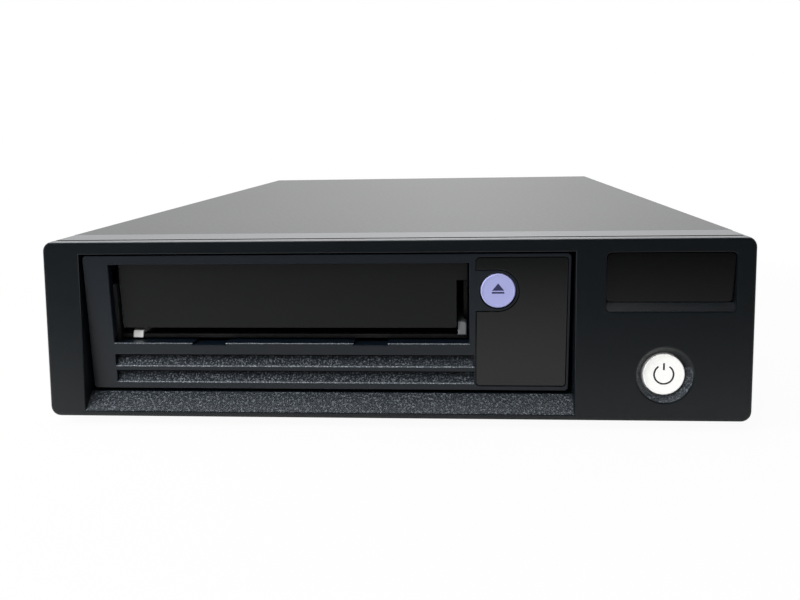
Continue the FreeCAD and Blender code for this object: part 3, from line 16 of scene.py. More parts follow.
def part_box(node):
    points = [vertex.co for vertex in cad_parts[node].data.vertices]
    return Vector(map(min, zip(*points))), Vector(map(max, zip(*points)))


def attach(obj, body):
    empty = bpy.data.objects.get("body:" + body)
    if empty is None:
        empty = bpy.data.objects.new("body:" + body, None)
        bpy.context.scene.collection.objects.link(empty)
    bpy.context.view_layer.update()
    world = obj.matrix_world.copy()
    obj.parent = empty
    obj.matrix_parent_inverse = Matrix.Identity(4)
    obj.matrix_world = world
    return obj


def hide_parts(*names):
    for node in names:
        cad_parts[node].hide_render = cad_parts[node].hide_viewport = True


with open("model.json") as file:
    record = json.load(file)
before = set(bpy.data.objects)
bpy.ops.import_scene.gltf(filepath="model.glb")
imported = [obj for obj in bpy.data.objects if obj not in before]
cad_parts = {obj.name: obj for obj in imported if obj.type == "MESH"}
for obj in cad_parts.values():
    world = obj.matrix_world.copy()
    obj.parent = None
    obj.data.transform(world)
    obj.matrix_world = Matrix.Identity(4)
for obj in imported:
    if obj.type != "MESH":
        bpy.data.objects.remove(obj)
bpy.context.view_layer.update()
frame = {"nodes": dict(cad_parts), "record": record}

MM = 0.001
NODES = frame["nodes"]

# %% [markdown]
# ## Where the fascia's foot is
# Sizes below are millimetres, with x to the right, y to the back from the foot of the fascia and z
# up from the case's underside. The steel base starts 23.2 mm behind that foot, so its box gives the
# start of these measures in the frame. The face leans back 5.6 mm over its height of 54 mm. The
# drive's bezel and the badge stand upright, both 5.9 mm behind the foot.

# %% Start of measures and the lean
HEIGHT = 54.0
SET_BACK = 5.6
BASE_FRONT = 23.2
BEZEL_FRONT = 5.9
base_low, base_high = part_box("chassis_base")
START = Vector((0.0, base_low.y - BASE_FRONT * MM, base_low.z))
LEAN = math.atan2(SET_BACK, HEIGHT)
INTO_FACE = Vector((0, math.cos(LEAN), -math.sin(LEAN)))


def face_y(z):
    """Depth of the leaning face at a height."""
    return z * math.tan(LEAN)


print("lean", round(math.degrees(LEAN), 2), "degrees; foot at", [round(v, 4) for v in START])


# %% [markdown]
# ## Small helpers
# Every operator in Blender acts on what is selected, so each helper first selects just the one
# object it is meant for. `block` and `round_bar` add a cube or a cylinder at its size and place,
# which is how most pieces start. `choose` picks vertices, edges or faces by a test on their place,
# the way a hand would click them.

# %% Selecting and starting a piece
def alone(piece):
    """Selects one object and nothing else, and makes it the active one."""
    bpy.ops.object.select_all(action="DESELECT")
    piece.select_set(True)
    bpy.context.view_layer.objects.active = piece
    return piece


def started(name):
    """Names the primitive just added and applies its place and size to its mesh."""
    piece = bpy.context.active_object
    piece.name = name
    alone(piece)
    bpy.ops.object.transform_apply(location=True, rotation=True, scale=True)
    return piece


def block(name, low, high):
    """A cube stretched between two corners."""
    low, high = START + Vector(low) * MM, START + Vector(high) * MM
    bpy.ops.object.select_all(action="DESELECT")
    bpy.ops.mesh.primitive_cube_add(size=1, location=(low + high) / 2, scale=high - low)
    return started(name)


def on_face(x, z, depth):
    """A point that lies a depth behind the leaning face, square to it."""
    return START + Vector((x, face_y(z), z)) * MM + INTO_FACE * depth * MM


def round_bar(name, radius, start, end, back_radius=None, sides=96):
    """A cylinder or cone between two points given in the frame's metres."""
    axis = end - start
    bpy.ops.object.select_all(action="DESELECT")
    bpy.ops.mesh.primitive_cone_add(vertices=sides, radius1=radius * MM,
                                    radius2=(radius if back_radius is None else back_radius) * MM,
                                    depth=axis.length, location=(start + end) / 2,
                                    rotation=axis.normalized().to_track_quat("Z", "Y").to_euler())
    return started(name)


def spot(x, y, z):
    """Turns millimetres from the fascia's foot into the frame's metres."""
    return START + Vector((x, y, z)) * MM


def barrel(name, radius, at, front, back, sides=96):
    """A round bar that runs from front to back at an (x, z) place in millimetres."""
    return round_bar(name, radius, spot(at[0], front, at[1]), spot(at[0], back, at[1]), sides=sides)


def cross_bar(name, radius, at, left, right, sides=24):
    """A round bar that runs from left to right at a (y, z) place in millimetres."""
    return round_bar(name, radius, spot(left, *at), spot(right, *at), sides=sides)


def place(part):
    """Where a vertex, or the middle of an edge or face, lies in millimetres from the foot."""
    corners = [part] if isinstance(part, bmesh.types.BMVert) else part.verts
    return (sum((v.co for v in corners), Vector()) / len(corners) - START) / MM


def along(edge, axis):
    """Whether an edge runs along x, y or z (0, 1 or 2)."""
    run = edge.verts[1].co - edge.verts[0].co
    return abs(run.normalized()[axis]) > 0.95


# %% Choosing in edit mode
def choose(piece, kind, test):
    """In edit mode, selects the parts of one kind that pass the test, and nothing else."""
    bpy.ops.mesh.select_mode(type=kind)
    bpy.ops.mesh.select_all(action="DESELECT")
    mesh = bmesh.from_edit_mesh(piece.data)
    for part in {"VERT": mesh.verts, "EDGE": mesh.edges, "FACE": mesh.faces}[kind]:
        if test(part):
            part.select_set(True)
    mesh.select_flush_mode()
    bmesh.update_edit_mesh(piece.data)


def edit(piece):
    """Opens one piece in edit mode."""
    alone(piece)
    bpy.ops.object.mode_set(mode="EDIT")


def leave():
    """Goes back to object mode."""
    bpy.ops.object.mode_set(mode="OBJECT")


def shift(piece, test, x=0.0, y=0.0, z=0.0):
    """Moves the chosen vertices by a few millimetres."""
    edit(piece)
    choose(piece, "VERT", test)
    bpy.ops.transform.translate(value=(x * MM, y * MM, z * MM))
    leave()


# %% [markdown]
# ## Carving and finishing a piece
# A boolean cuts pockets and openings like a mould core does. Real mouldings have no knife-sharp
# edges, so `ease` rounds the edges that it is given by a few tenths of a millimetre, which is what
# catches the light. The weighted normals then keep the big faces flat right up to their soft edges.

# %% Carving, easing, settling
def apply_modifier(piece, kind, **settings):
    """Adds a modifier with its settings and applies it at once."""
    modifier = piece.modifiers.new(kind, kind)
    for key, value in settings.items():
        setattr(modifier, key, value)
    alone(piece)
    bpy.ops.object.modifier_apply(modifier=modifier.name)


def carve(piece, cutter, operation="DIFFERENCE"):
    """Cuts, joins or intersects a piece with another one, which is then gone."""
    apply_modifier(piece, "BOOLEAN", operation=operation, object=cutter, solver="EXACT")
    bpy.data.objects.remove(cutter)


def ease(piece, width, test, segments=2):
    """Rounds the chosen edges by a width in millimetres."""
    edit(piece)
    choose(piece, "EDGE", test)
    bpy.ops.mesh.bevel(offset=width * MM, segments=segments, affect="EDGES", clamp_overlap=False)
    leave()


def tidy(piece):
    """Merges doubles and takes out the needless edges that a boolean leaves in flat faces."""
    edit(piece)
    bpy.ops.mesh.select_all(action="SELECT")
    bpy.ops.mesh.remove_doubles(threshold=0.000002)
    bpy.ops.mesh.dissolve_limited(angle_limit=math.radians(0.3))
    bpy.ops.mesh.normals_make_consistent(inside=False)
    leave()


def sharp(edge, angle=35):
    """Whether the two faces at an edge turn by more than an angle in degrees."""
    return len(edge.link_faces) == 2 and edge.calc_face_angle() > math.radians(angle)


def smooth(piece, angle=40):
    """Shades round faces smooth and keeps the flat ones flat."""
    alone(piece)
    bpy.ops.object.shade_smooth_by_angle(angle=math.radians(angle))
    apply_modifier(piece, "WEIGHTED_NORMAL", keep_sharp=True)


def settle(piece, body, slot, material, *replaced):
    """Says which body carries the piece, which finish it has, and which CAD nodes it stands for.

    The slot is not used.
    """
    if not piece.data.materials:
        piece.data.materials.append(material)
    smooth(piece)
    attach(piece, body)
    if replaced:
        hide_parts(*replaced)
    print(piece.name, "has", len(piece.data.polygons), "faces")


def second_finish(piece, material, test):
    """Gives the faces that pass a test another material."""
    piece.data.materials.append(material)
    edit(piece)
    choose(piece, "FACE", test)
    piece.active_material_index = len(piece.data.materials) - 1
    bpy.ops.object.material_slot_assign()
    leave()


# %% [markdown]
# ## The camera
# The object is seen from a little above and nearly head on, with a short lens close to it, so that
# the cover narrows quickly towards the back. The three angles are the camera's turn to the side, its
# dip and its slight tilt.

# %% Camera
TURN, DIP, TILT = 0.0781, 0.2055, -0.0178
bpy.ops.object.camera_add(location=(0.021755, -0.392876, 0.087923))
camera = bpy.context.active_object
turn = Matrix.Rotation(TURN, 3, "Z")
dip = Matrix.Rotation(math.pi / 2 - DIP, 3, "X")
tilt = Matrix.Rotation(TILT, 3, "Z")
camera.rotation_euler = (turn @ dip @ tilt).to_euler()
camera.data.lens = 36.135
camera.data.sensor_width = 36.0
camera.data.clip_start = 0.01
bpy.context.scene.camera = camera
print("camera dips", round(math.degrees(DIP), 1), "degrees")


# %% [markdown]
# ## Colours and nodes
# Colours are written as on a paint card, in sRGB hex, and one function turns them linear for the
# shader. One more function adds a node with its settings and links, so that a material reads as a
# list of nodes.

# %% Colour and node helpers
def colour(hex_code):
    """Turns an sRGB hex code into linear red, green, blue and alpha."""
    channels = [int(hex_code[i:i + 2], 16) / 255 for i in (1, 3, 5)]
    linear = [c / 12.92 if c <= 0.04045 else ((c + 0.055) / 1.055) ** 2.4 for c in channels]
    return (*linear, 1.0)


def add(tree, kind, settings=None, links=None):
    """Adds a node, sets its sockets or properties by name, and links sources to its sockets."""
    made = tree.nodes.new(kind)
    for name, value in (settings or {}).items():
        if isinstance(name, str) and hasattr(made, name):
            setattr(made, name, value)
        else:
            made.inputs[name].default_value = value
    for name, source in (links or {}).items():
        tree.links.new(source, made.inputs[name])
    return made


def noise(tree, where, cell_mm, **settings):
    """Noise with cells of a width in millimetres, at the given coordinates."""
    made = add(tree, "ShaderNodeTexNoise", {"Scale": 1 / (cell_mm * MM), **settings}, {"Vector": where})
    return made.outputs["Fac"]


def spread(tree, value, low, high, start=0.0, stop=1.0):
    """Maps a value that runs from start to stop onto low to high."""
    made = add(tree, "ShaderNodeMapRange",
               {"From Min": start, "From Max": stop, "To Min": low, "To Max": high}, {"Value": value})
    return made.outputs["Result"]


def relief(tree, height, strength, depth_mm):
    """The surface's direction when a height bumps it by up to a depth in millimetres."""
    made = add(tree, "ShaderNodeBump", {"Strength": strength, "Distance": depth_mm * MM},
               {"Height": height})
    return made.outputs["Normal"]


def new_material(name):
    """An empty material, its node tree, and the object's own coordinates in it."""
    material = bpy.data.materials.new(name)
    material.use_nodes = True
    tree = material.node_tree
    tree.nodes.clear()
    return material, tree, add(tree, "ShaderNodeTexCoord").outputs["Object"]


def surface(tree, settings, links=None):
    """The shader at the end of every material, with its output."""
    shader = add(tree, "ShaderNodeBsdfPrincipled", settings, links)
    add(tree, "ShaderNodeOutputMaterial", links={"Surface": shader.outputs["BSDF"]})


# %% [markdown]
# ## Floor, backdrop and lamps
# The set is a plain pale floor under a pale sky. Dark plastic shows what it mirrors more than its
# own colour, so the set matters. The cover mirrors the white paper behind the case. The face leans
# back, so its lower part mirrors the floor close in front of it and its top mirrors the dim room
# behind the camera. The floor's colour is darkened towards the camera, painted shade for that dim
# room, which gives the dark mouldings and the lens their slow change from slate to black.

# %% Floor
material, tree, where = new_material("pale studio floor")
split = add(tree, "ShaderNodeSeparateXYZ", links={0: where})
# Painted shade: the floor's colour is light close in front of the case and behind it, and darker
# towards the camera.
lit = spread(tree, split.outputs["Y"], 0.0, 1.0, -0.52, -0.15)
shade = add(tree, "ShaderNodeMix", {"data_type": "RGBA", 6: colour("#262626"), 7: colour("#C6C6C4")},
            {0: lit})
diffuse = add(tree, "ShaderNodeBsdfDiffuse", links={"Color": shade.outputs[2]})
glow = add(tree, "ShaderNodeEmission", {"Color": colour("#FFFFFF"), "Strength": 1.0})
# To the camera the floor is nearly pure white, and wholly so from 0.3 m off, where it meets the sky:
# only close to the case does the soft shadow show.
far = add(tree, "ShaderNodeVectorMath", {"operation": "LENGTH"}, {0: where})
whiteness = spread(tree, far.outputs["Value"], 0.95, 1.0, 0.2, 0.3)
path = add(tree, "ShaderNodeLightPath")
share = add(tree, "ShaderNodeMath", {"operation": "MULTIPLY"},
            {0: path.outputs["Is Camera Ray"], 1: whiteness})
mixed = add(tree, "ShaderNodeMixShader",
            links={0: share.outputs[0], 1: diffuse.outputs[0], 2: glow.outputs[0]})
add(tree, "ShaderNodeOutputMaterial", links={"Surface": mixed.outputs[0]})
bpy.ops.object.select_all(action="DESELECT")
bpy.ops.mesh.primitive_plane_add(size=12, location=(0, 0, 0))
floor = started("studio_floor")
floor.data.materials.append(material)
print(floor.name, "is laid")

# %% [markdown]
# The sky has three jobs. The camera sees it as white paper. What the case mirrors is white paper at
# the back, brightest in the middle, and a dim room in front. For soft light it is an even pale grey.

# %% Sky
world = bpy.data.worlds.new("pale studio")
bpy.context.scene.world = world
world.use_nodes = True
tree = world.node_tree
tree.nodes.clear()
ray = add(tree, "ShaderNodeLightPath")
way = add(tree, "ShaderNodeTexCoord")
split = add(tree, "ShaderNodeSeparateXYZ", links={0: way.outputs["Generated"]})
paper_share = add(tree, "ShaderNodeMapRange", {"From Min": -0.30, "From Max": 0.45, "To Min": 0.03,
                                               "To Max": 1.2, "interpolation_type": "SMOOTHSTEP"},
                  {"Value": split.outputs["Y"]})
aside = add(tree, "ShaderNodeMath", {"operation": "ABSOLUTE"}, {0: split.outputs["X"]})
middle = spread(tree, aside.outputs[0], 1.0, 0.66, 0.04, 0.40)
mirrored = add(tree, "ShaderNodeMath", {"operation": "MULTIPLY"},
               {0: paper_share.outputs["Result"], 1: middle})
air = add(tree, "ShaderNodeBackground", {"Color": colour("#FFFFFF"), "Strength": 0.30})
mirror = add(tree, "ShaderNodeBackground", {"Color": colour("#FFFFFF")}, {"Strength": mirrored.outputs[0]})
paper = add(tree, "ShaderNodeBackground", {"Color": colour("#FFFFFF"), "Strength": 1.0})
seen = add(tree, "ShaderNodeMixShader", links={0: ray.outputs["Is Glossy Ray"], 1: air.outputs[0],
                                               2: mirror.outputs[0]})
mixed = add(tree, "ShaderNodeMixShader", links={0: ray.outputs["Is Camera Ray"], 1: seen.outputs[0],
                                                2: paper.outputs[0]})
add(tree, "ShaderNodeOutputWorld", links={"Surface": mixed.outputs[0]})
print(world.name, "is the world")


# %% [markdown]
# Three soft boxes light the case: a big one over it, one in front at the left that fills the face,
# and a small one low at the left that rakes across the coarse ledge and grooves. The last two are
# hidden from reflections, so that the gloss parts stay dark. Places are in metres.

# %% Lamps
def lamp(name, location, aim, width, height, power, mirrored=True):
    """A soft rectangular lamp that faces a point."""
    bpy.ops.object.light_add(type="AREA", location=location)
    made = bpy.context.active_object
    made.name = name
    made.rotation_euler = (Vector(aim) - Vector(location)).to_track_quat("-Z", "Y").to_euler()
    made.data.shape = "RECTANGLE"
    made.data.size = width
    made.data.size_y = height
    made.data.energy = power
    made.visible_glossy = mirrored
    return made


lamp("top_softbox", (-0.1, 0.1, 1.3), (0, 0, 0.0), 1.4, 1.0, 15)
lamp("front_softbox", (-0.35, -0.85, 0.9), (0, -0.16, 0.03), 0.6, 0.6, 5, mirrored=False)
lamp("left_softbox", (-0.44, -0.38, 0.27), (0, -0.16, 0.02), 0.25, 0.25, 3.3, mirrored=False)
scene = bpy.context.scene
scene.view_settings.view_transform = "Standard"


# %% [markdown]
# ## Moulded plastics
# The fascia and the drive's bezel are injection-moulded ABS. The mould's steel was etched, so the
# plastic carries a fine leathery grain. It is matt, yet it mirrors the pale floor faintly. The grain
# is a noise with cells about 0.4 mm wide, which bumps the surface and breaks up its gloss a little.
# The ledge and the grooves are etched more coarsely. Their colour is lighter than the face's, as
# painted light on these upward slopes, and their grains' tips carry painted glints.

# %% Moulded ABS
def moulded(name, hex_code, rough, grain_mm, relief_mm, strength, ior=1.5, painted_glint=None):
    """Moulded plastic with an etched grain of a given width and depth; the glint colour, if given, is
    painted on its grains' tips as painted glints.
    """
    material, tree, where = new_material(name)
    grain = noise(tree, where, grain_mm, Detail=3.0, Roughness=0.6)
    dark = colour(hex_code)
    if painted_glint:
        # A lighter colour on the grains' tips: painted glints.
        light = colour(painted_glint)
        share = spread(tree, grain, 0.0, 1.0, 0.50, 0.68)
    else:
        # Faint clouds about 55 mm wide, as the melt leaves them.
        light = tuple(c * 1.3 for c in dark[:3]) + (1.0,)
        share = add(tree, "ShaderNodeTexNoise", {"Scale": 18.0, "Detail": 2.0},
                    {"Vector": where}).outputs["Fac"]
    body = add(tree, "ShaderNodeMix", {"data_type": "RGBA", 6: dark, 7: light}, {0: share})
    surface(tree, {"IOR": ior}, {"Base Color": body.outputs[2],
                                 "Roughness": spread(tree, grain, rough - 0.06, rough + 0.08, 0.3, 0.7),
                                 "Normal": relief(tree, grain, strength, relief_mm)})
    return material


charcoal = moulded("charcoal ABS, fine etch", "#080D11", 0.36, 0.4, 0.03, 0.25)
# The coarse etch is lighter and glints: painted light on the upward ledge and cone.
coarse = moulded("charcoal ABS, coarse etch, lightened as painted light", "#22272C", 0.34, 0.6, 0.4, 0.9, painted_glint="#62686E")
bezel_abs = moulded("slate ABS, fine etch", "#070E16", 0.38, 0.35, 0.03, 0.25)
# Painted light: a lighter colour and painted glints for the bezel's upward grooves.
bezel_coarse = moulded("slate ABS, coarse etch, lightened as painted light", "#1B2025", 0.34, 0.55, 0.4, 0.9, painted_glint="#646A70")
# Small rounded edges get a lighter colour with lighter specks: a painted highlight where they
# would catch the light.
painted_edge_highlight = moulded("slate ABS, painted edge highlight", "#4A5056", 0.26, 0.5, 0.05, 0.4, painted_glint="#9AA0A5")
door_abs = moulded("black ABS, fine etch", "#08090B", 0.44, 0.3, 0.02, 0.2, ior=1.42)
# The fascia's top band is lighter than its face: a painted reflection of the pale backdrop.
top_band_painted_light = moulded("charcoal ABS, satin top band with painted light", "#5E6062", 0.34, 0.3, 0.01, 0.1)
print("moulded plastics made")

# %% [markdown]
# ## The fascia
# On the real case this is one moulding: a shallow tray of ABS with walls 2.5 mm thick, a rectangular
# opening for the drive with a wall round it, a pocket for the badge and a cone round the power
# button. It could be built wall by wall, but the mould itself shows the easier way: start with the
# full block, round it, then press each core into it. The top front edge is moved back to lean it.

# %% Fascia: the leaning block
HALF_WIDTH = 106.5
CORNER = 3.0
fascia = block("fascia", (-HALF_WIDTH, 0, 0), (HALF_WIDTH, 23, HEIGHT))
shift(fascia, lambda v: place(v).y < 1 and place(v).z > 50, y=SET_BACK)
ease(fascia, CORNER, lambda e: along(e, 1), 6)


def lies_on_face(edge):
    """Whether both ends of an edge lie on the leaning face."""
    return all(abs(place(v).y - face_y(place(v).z)) < 0.01 for v in edge.verts)


ease(fascia, 0.9, lies_on_face, 4)
print("fascia block is eased,", len(fascia.data.polygons), "faces")

# %% [markdown]
# The hollow's core leans like the face, so the wall is 2.5 mm thick all over. Where the core must
# leave plastic standing, round the drive, behind the badge, round the button and at the two bosses
# of the switch board, it is cut away first.

# %% Fascia: hollow behind the face
POWER = (81.26, 13.8)
WALL = 2.5
INNER_TOP = HEIGHT - WALL
hollow = block("hollow", (-104, face_y(WALL) + 2.52, WALL), (104, 24, INNER_TOP))
shift(hollow, lambda v: place(v).y < 5 and place(v).z > 50, y=face_y(INNER_TOP) - face_y(WALL))
carve(hollow, block("drive_frame", (-97.1, -2, -1), (57.1, 15.8, 56)))
carve(hollow, block("badge_backing", (62, -2, 33.8), (103, 8.7, 56)))
carve(hollow, round_bar("button_sleeve", 9.0, on_face(*POWER, 0.5), on_face(*POWER, 8.85), sides=64))
for side in (-1, 1):
    x = POWER[0] + side * 12.98
    carve(hollow, round_bar("board_boss", 2.0, on_face(x, 24.6, 0.5), on_face(x, 24.6, 19.15), sides=24))
carve(fascia, hollow)
print("fascia is a shell,", len(fascia.data.polygons), "faces")

# %% [markdown]
# The drive's opening flares downwards in front of the bezel, which makes the sloping ledge. The
# badge's pocket has an upright floor and a small slanting lip below it.

# %% Fascia: openings
LIP_TOP = 32.4
opening = block("drive_opening", (-95.1, -0.1, 6.4), (55.1, 24, 50.06))
edit(opening)
bpy.ops.mesh.select_all(action="SELECT")
bpy.ops.mesh.bisect(plane_co=spot(0, BEZEL_FRONT, 0), plane_no=(0, 1, 0))
leave()
shift(opening, lambda v: place(v).y < 0 and place(v).z < 7, z=-4.83)
carve(fascia, opening)

pocket = block("badge_pocket", (64, -1, LIP_TOP), (101, 6.7, 49.75))
ease(pocket, 1.5, lambda e: along(e, 1), 5)
lip = block("badge_lip", (63, face_y(LIP_TOP), 27.6), (102, 6.8, 34.8))
edit(lip)
bpy.ops.mesh.select_all(action="SELECT")
bpy.ops.mesh.bisect(plane_co=spot(0, face_y(LIP_TOP), LIP_TOP),
                    plane_no=(0, -2.4, BEZEL_FRONT - face_y(LIP_TOP)), use_fill=True, clear_outer=True)
leave()
carve(pocket, lip)
carve(fascia, pocket)
BORE = 6.4
# The cone's cutter starts 1 mm in front of the face, where its slope has widened it by 0.89 mm.
carve(fascia, round_bar("button_cone", 8.4 + 0.89, on_face(*POWER, -1), on_face(*POWER, 2.25), BORE))
carve(fascia, round_bar("button_bore", BORE, on_face(*POWER, 2.1), on_face(*POWER, 10)))
print("openings are cut,", len(fascia.data.polygons), "faces")

# %% [markdown]
# A groove runs across the fascia's top, 3 mm behind its front edge, and the top is a smooth satin
# whose lighter colour is a painted reflection of the pale backdrop.
# Each opening's rim on the face gets a small round. The sloping ledge under the drive and the lower
# part of the cone round the power button take the coarser etch; its lighter colour and glints are
# painted light on these upward faces.

# %% Fascia: rims and etch
carve(fascia, block("top_groove", (-103.4, 8.1, 53.0), (103.4, 9.9, 55)))
tidy(fascia)
ease(fascia, 0.3, lambda e: lies_on_face(e) and sharp(e), 2)
fascia.data.materials.append(charcoal)


def is_ledge(face):
    """The sloping ledge under the drive."""
    middle = place(face)
    return (-96 < middle.x < 56 and 1.0 < middle.z < 6.6 and middle.y < 6.2
            and face.normal.z > 0.5 and face.normal.y < -0.2)


def is_cone(face):
    """The lower part of the cone round the power button."""
    middle = place(face)
    aside = math.hypot(middle.x - POWER[0], middle.z - POWER[1])
    sunk = middle.y - face_y(middle.z)
    return 6.5 < aside < 9.0 and 0.3 < sunk < 2.0 and middle.z < POWER[1] + 2


# The ledge and the cone's lower part take the lighter coarse etch: painted light on upward faces.
second_finish(fascia, coarse, lambda f: is_ledge(f) or is_cone(f))
# The fascia's top is painted lighter: a painted reflection of the backdrop.
second_finish(fascia, top_band_painted_light, lambda f: f.normal.z > 0.8 and place(f).z > 53.4)
settle(fascia, "enclosure", "charcoal_moulding", charcoal, "front_bezel")

# %% [markdown]
# ## Badge plate and power button
# The badge is a thin gloss plate that lies in its pocket, left bare. The power button is a white
# cap with a shallow dish pressed into its end. A faint glow is painted into it, which brightens
# the white cap as painted light.

# %% Gloss and printed finishes
def glossy(name, hex_code, rough, glow=0.0, ior=1.5):
    """Smooth moulded plastic; the noise is the faint orange peel that a polished mould leaves."""
    material, tree, where = new_material(name)
    peel = noise(tree, where, 1.2, Detail=1.0)
    surface(tree, {"Base Color": colour(hex_code), "IOR": ior, "Emission Color": colour(hex_code),
                   "Emission Strength": glow},
            {"Roughness": spread(tree, peel, rough - 0.03, rough + 0.04),
             "Normal": relief(tree, peel, 0.04, 0.02)})
    return material


badge_gloss = glossy("black gloss acrylic", "#040505", 0.16, ior=1.4)
# The cap's faint glow is painted light that brightens it.
white_cap = glossy("white satin ABS with painted glow", "#F4F4F2", 0.32, glow=0.12)
print_black = glossy("dark print", "#101215", 0.5)
print("gloss plastics made")

# %% [markdown]
# The badge plate is a slice of sheet with rounded corners: a block, its four corner edges eased, and
# then its front edge.

# %% Badge plate
badge = block("badge_plate_gloss", (64.15, BEZEL_FRONT, 34.95), (100.85, 6.68, 49.6))
ease(badge, 1.5, lambda e: along(e, 1), 5)
ease(badge, 0.2, lambda e: all(place(v).y < 5.95 for v in e.verts), 2)
settle(badge, "enclosure", "badge_gloss", badge_gloss, "badge_plate")


# %% [markdown]
# The power button is a cylinder square to the leaning face. Two insets of its end make the rim and
# the dish. The flange that holds it behind the wall and the stem that works the switch are joined on.

# %% Power button cap
def pushed_face(piece, test, inset, depth):
    """Insets the chosen face and pushes it in, square to the leaning face, which leaves a rim."""
    edit(piece)
    choose(piece, "FACE", test)
    bpy.ops.mesh.inset(thickness=inset * MM)
    bpy.ops.transform.translate(value=INTO_FACE * depth * MM)
    leave()


def faces_front(face):
    """The round end of a cap."""
    return face.normal.y < -0.9 and len(face.verts) > 20


CAP = 6.1
cap_front = on_face(*POWER, 1.35)
cap = round_bar("power_cap", CAP, cap_front, on_face(*POWER, 9.85))
pushed_face(cap, faces_front, 0.45, 0.0)
pushed_face(cap, faces_front, 0.5, 0.12)


def is_cap_rim(edge):
    """The sharp edge round the cap's front."""
    return sharp(edge, 60) and abs((edge.verts[0].co - cap_front).length / MM - CAP) < 0.1


ease(cap, 0.3, is_cap_rim, 3)
flange = round_bar("power_flange", 7.4, on_face(*POWER, 9.15), on_face(*POWER, 10.45), sides=48)
carve(cap, flange, "UNION")
stem = round_bar("power_stem", 1.6, on_face(*POWER, 10.0), on_face(*POWER, 11.85), sides=24)
carve(cap, stem, "UNION")
settle(cap, "power_button", "white_cap", white_cap, "power_button")

# %% [markdown]
# The usual power mark is printed on the cap: a ring that stays open at the top, and a stroke in the
# gap. The ring is a thin disc with its middle and a wedge cut out; the stroke is what a thin disc and
# an upright block share. Both stand a few hundredths of a millimetre proud.

# %% Power mark
mark_front, mark_back = on_face(*POWER, 1.43), on_face(*POWER, 1.50)
x, z = POWER
power_mark = round_bar("power_mark", 3.05, mark_front, mark_back)
carve(power_mark, round_bar("mark_middle", 2.58, on_face(*POWER, 0), on_face(*POWER, 3)))
gap = block("mark_gap", (x - 2.6, -1, z), (x + 2.6, 6, z + 3.6))
edit(gap)
choose(gap, "VERT", lambda v: place(v).z < z + 1)
bpy.ops.transform.resize(value=(0.02, 1, 1), center_override=spot(x, 2, z))
leave()
carve(power_mark, gap)
stroke = round_bar("power_stroke", 3.4, mark_front, mark_back)
carve(stroke, block("stroke_width", (x - 0.25, -1, z + 1.15), (x + 0.25, 6, z + 4)), "INTERSECT")
alone(power_mark)
stroke.select_set(True)
bpy.ops.object.join()
settle(power_mark, "power_button", "white_cap", print_black)


# %% [markdown]
# ## The drive's bezel
# The drive has a bezel of its own, 148.3 mm wide as every half-height drive has. It is a flat frame
# with a wide slot for the cartridge, two long finger grooves under it and a pocket for the lens. The
# grooves are wedges: the lower side slopes up into the plastic and the top is a sharp overhang, so
# each cutter is a block whose lower back edge is lifted.

# %% Drive bezel: the frame
SLOT_LOW = 22.1
SLOT_HIGH = 46.7
GROOVES = (9.4, 14.6)
NOTCHES = (-56.35, -6.05)
bezel = block("drive_bezel_moulding", (-94.35, BEZEL_FRONT, 7.4), (53.95, 12.3, 49.6))
ease(bezel, 1.2, lambda e: along(e, 1), 4)
hollow = block("bezel_hollow", (-92.75, 8.4, 9.0), (52.35, 13.3, 48.0))
carve(hollow, block("groove_backing", (-88.5, 8.0, 8.2), (26.5, 11.0, 20.9)))
carve(hollow, block("throat", (-88.4, 8.0, 20.0), (25.0, 11.3, SLOT_LOW)))
carve(bezel, hollow)

slot = block("slot", (-86.4, 3, SLOT_LOW), (24.0, 14, SLOT_HIGH))
for middle in NOTCHES:
    carve(slot, block("notch", (middle - 5.2, 3, 21.5), (middle + 5.2, 14, 23)), "UNION")
carve(bezel, slot)

for low in GROOVES:
    groove = block("groove", (-86.5, 4.9, low - 1.2), (25.5, 8.3, low + 3.8))
    shift(groove, lambda v, low=low: place(v).y > 8 and place(v).z < low, z=4.1)
    carve(bezel, groove)
print("bezel with slot and grooves,", len(bezel.data.polygons), "faces")

# %% [markdown]
# The lens's pocket follows the lens, with an island round the eject button and an opening behind the
# clear part. Two ears at the back carry the door's pin.

# %% Drive bezel: lens pocket and button bore
EJECT = (32.6, 38.4)
ISLAND = 6.2
HINGE = (9.75, 46.7)


def lens_shape(name, front, back, gap):
    """The lens's outline: a rounded plate less the island round the eject button."""
    plate = block(name, (26.05 + gap, front, 8.8 + gap), (53.15 - gap, back, 48.55 - gap))
    ease(plate, 1.0, lambda e: along(e, 1), 4)
    island = barrel("island", ISLAND + gap, EJECT, front - 1, back + 1)
    reach = block("island_reach", (20, front - 1, EJECT[1] - ISLAND - gap),
                  (EJECT[0], back + 1, EJECT[1] + ISLAND + gap))
    carve(island, reach, "UNION")
    carve(plate, island)
    return plate


carve(bezel, lens_shape("lens_pocket", 4.9, 7.45, 0.0))
carve(bezel, block("glass_opening", (29.05, 5.0, 11.8), (50.15, 10.0, 29.2)))
carve(bezel, barrel("island_barrel", 7.4, EJECT, 7.45, 8.6), "UNION")
carve(bezel, barrel("eject_bore", 5.45, EJECT, 4.0, 13.0))
for x in (-88.6, 24.2):
    ear = block("hinge_ear", (x, 8.2, 44.5), (x + 2.0, 12.3, 48.6))
    carve(ear, cross_bar("pin_hole", 0.65, HINGE, x - 1, x + 3))
    carve(bezel, ear, "UNION")
tidy(bezel)


def on_front(edge):
    """A sharp edge that lies in the bezel's front."""
    return all(abs(place(v).y - BEZEL_FRONT) < 0.01 for v in edge.verts) and sharp(edge)


ease(bezel, 0.25, on_front, 2)


def is_groove(face):
    """The sloping floor of a groove."""
    middle = place(face)
    return -87 < middle.x < 26 and middle.z < 18 and face.normal.z > 0.4 and face.normal.y < -0.4


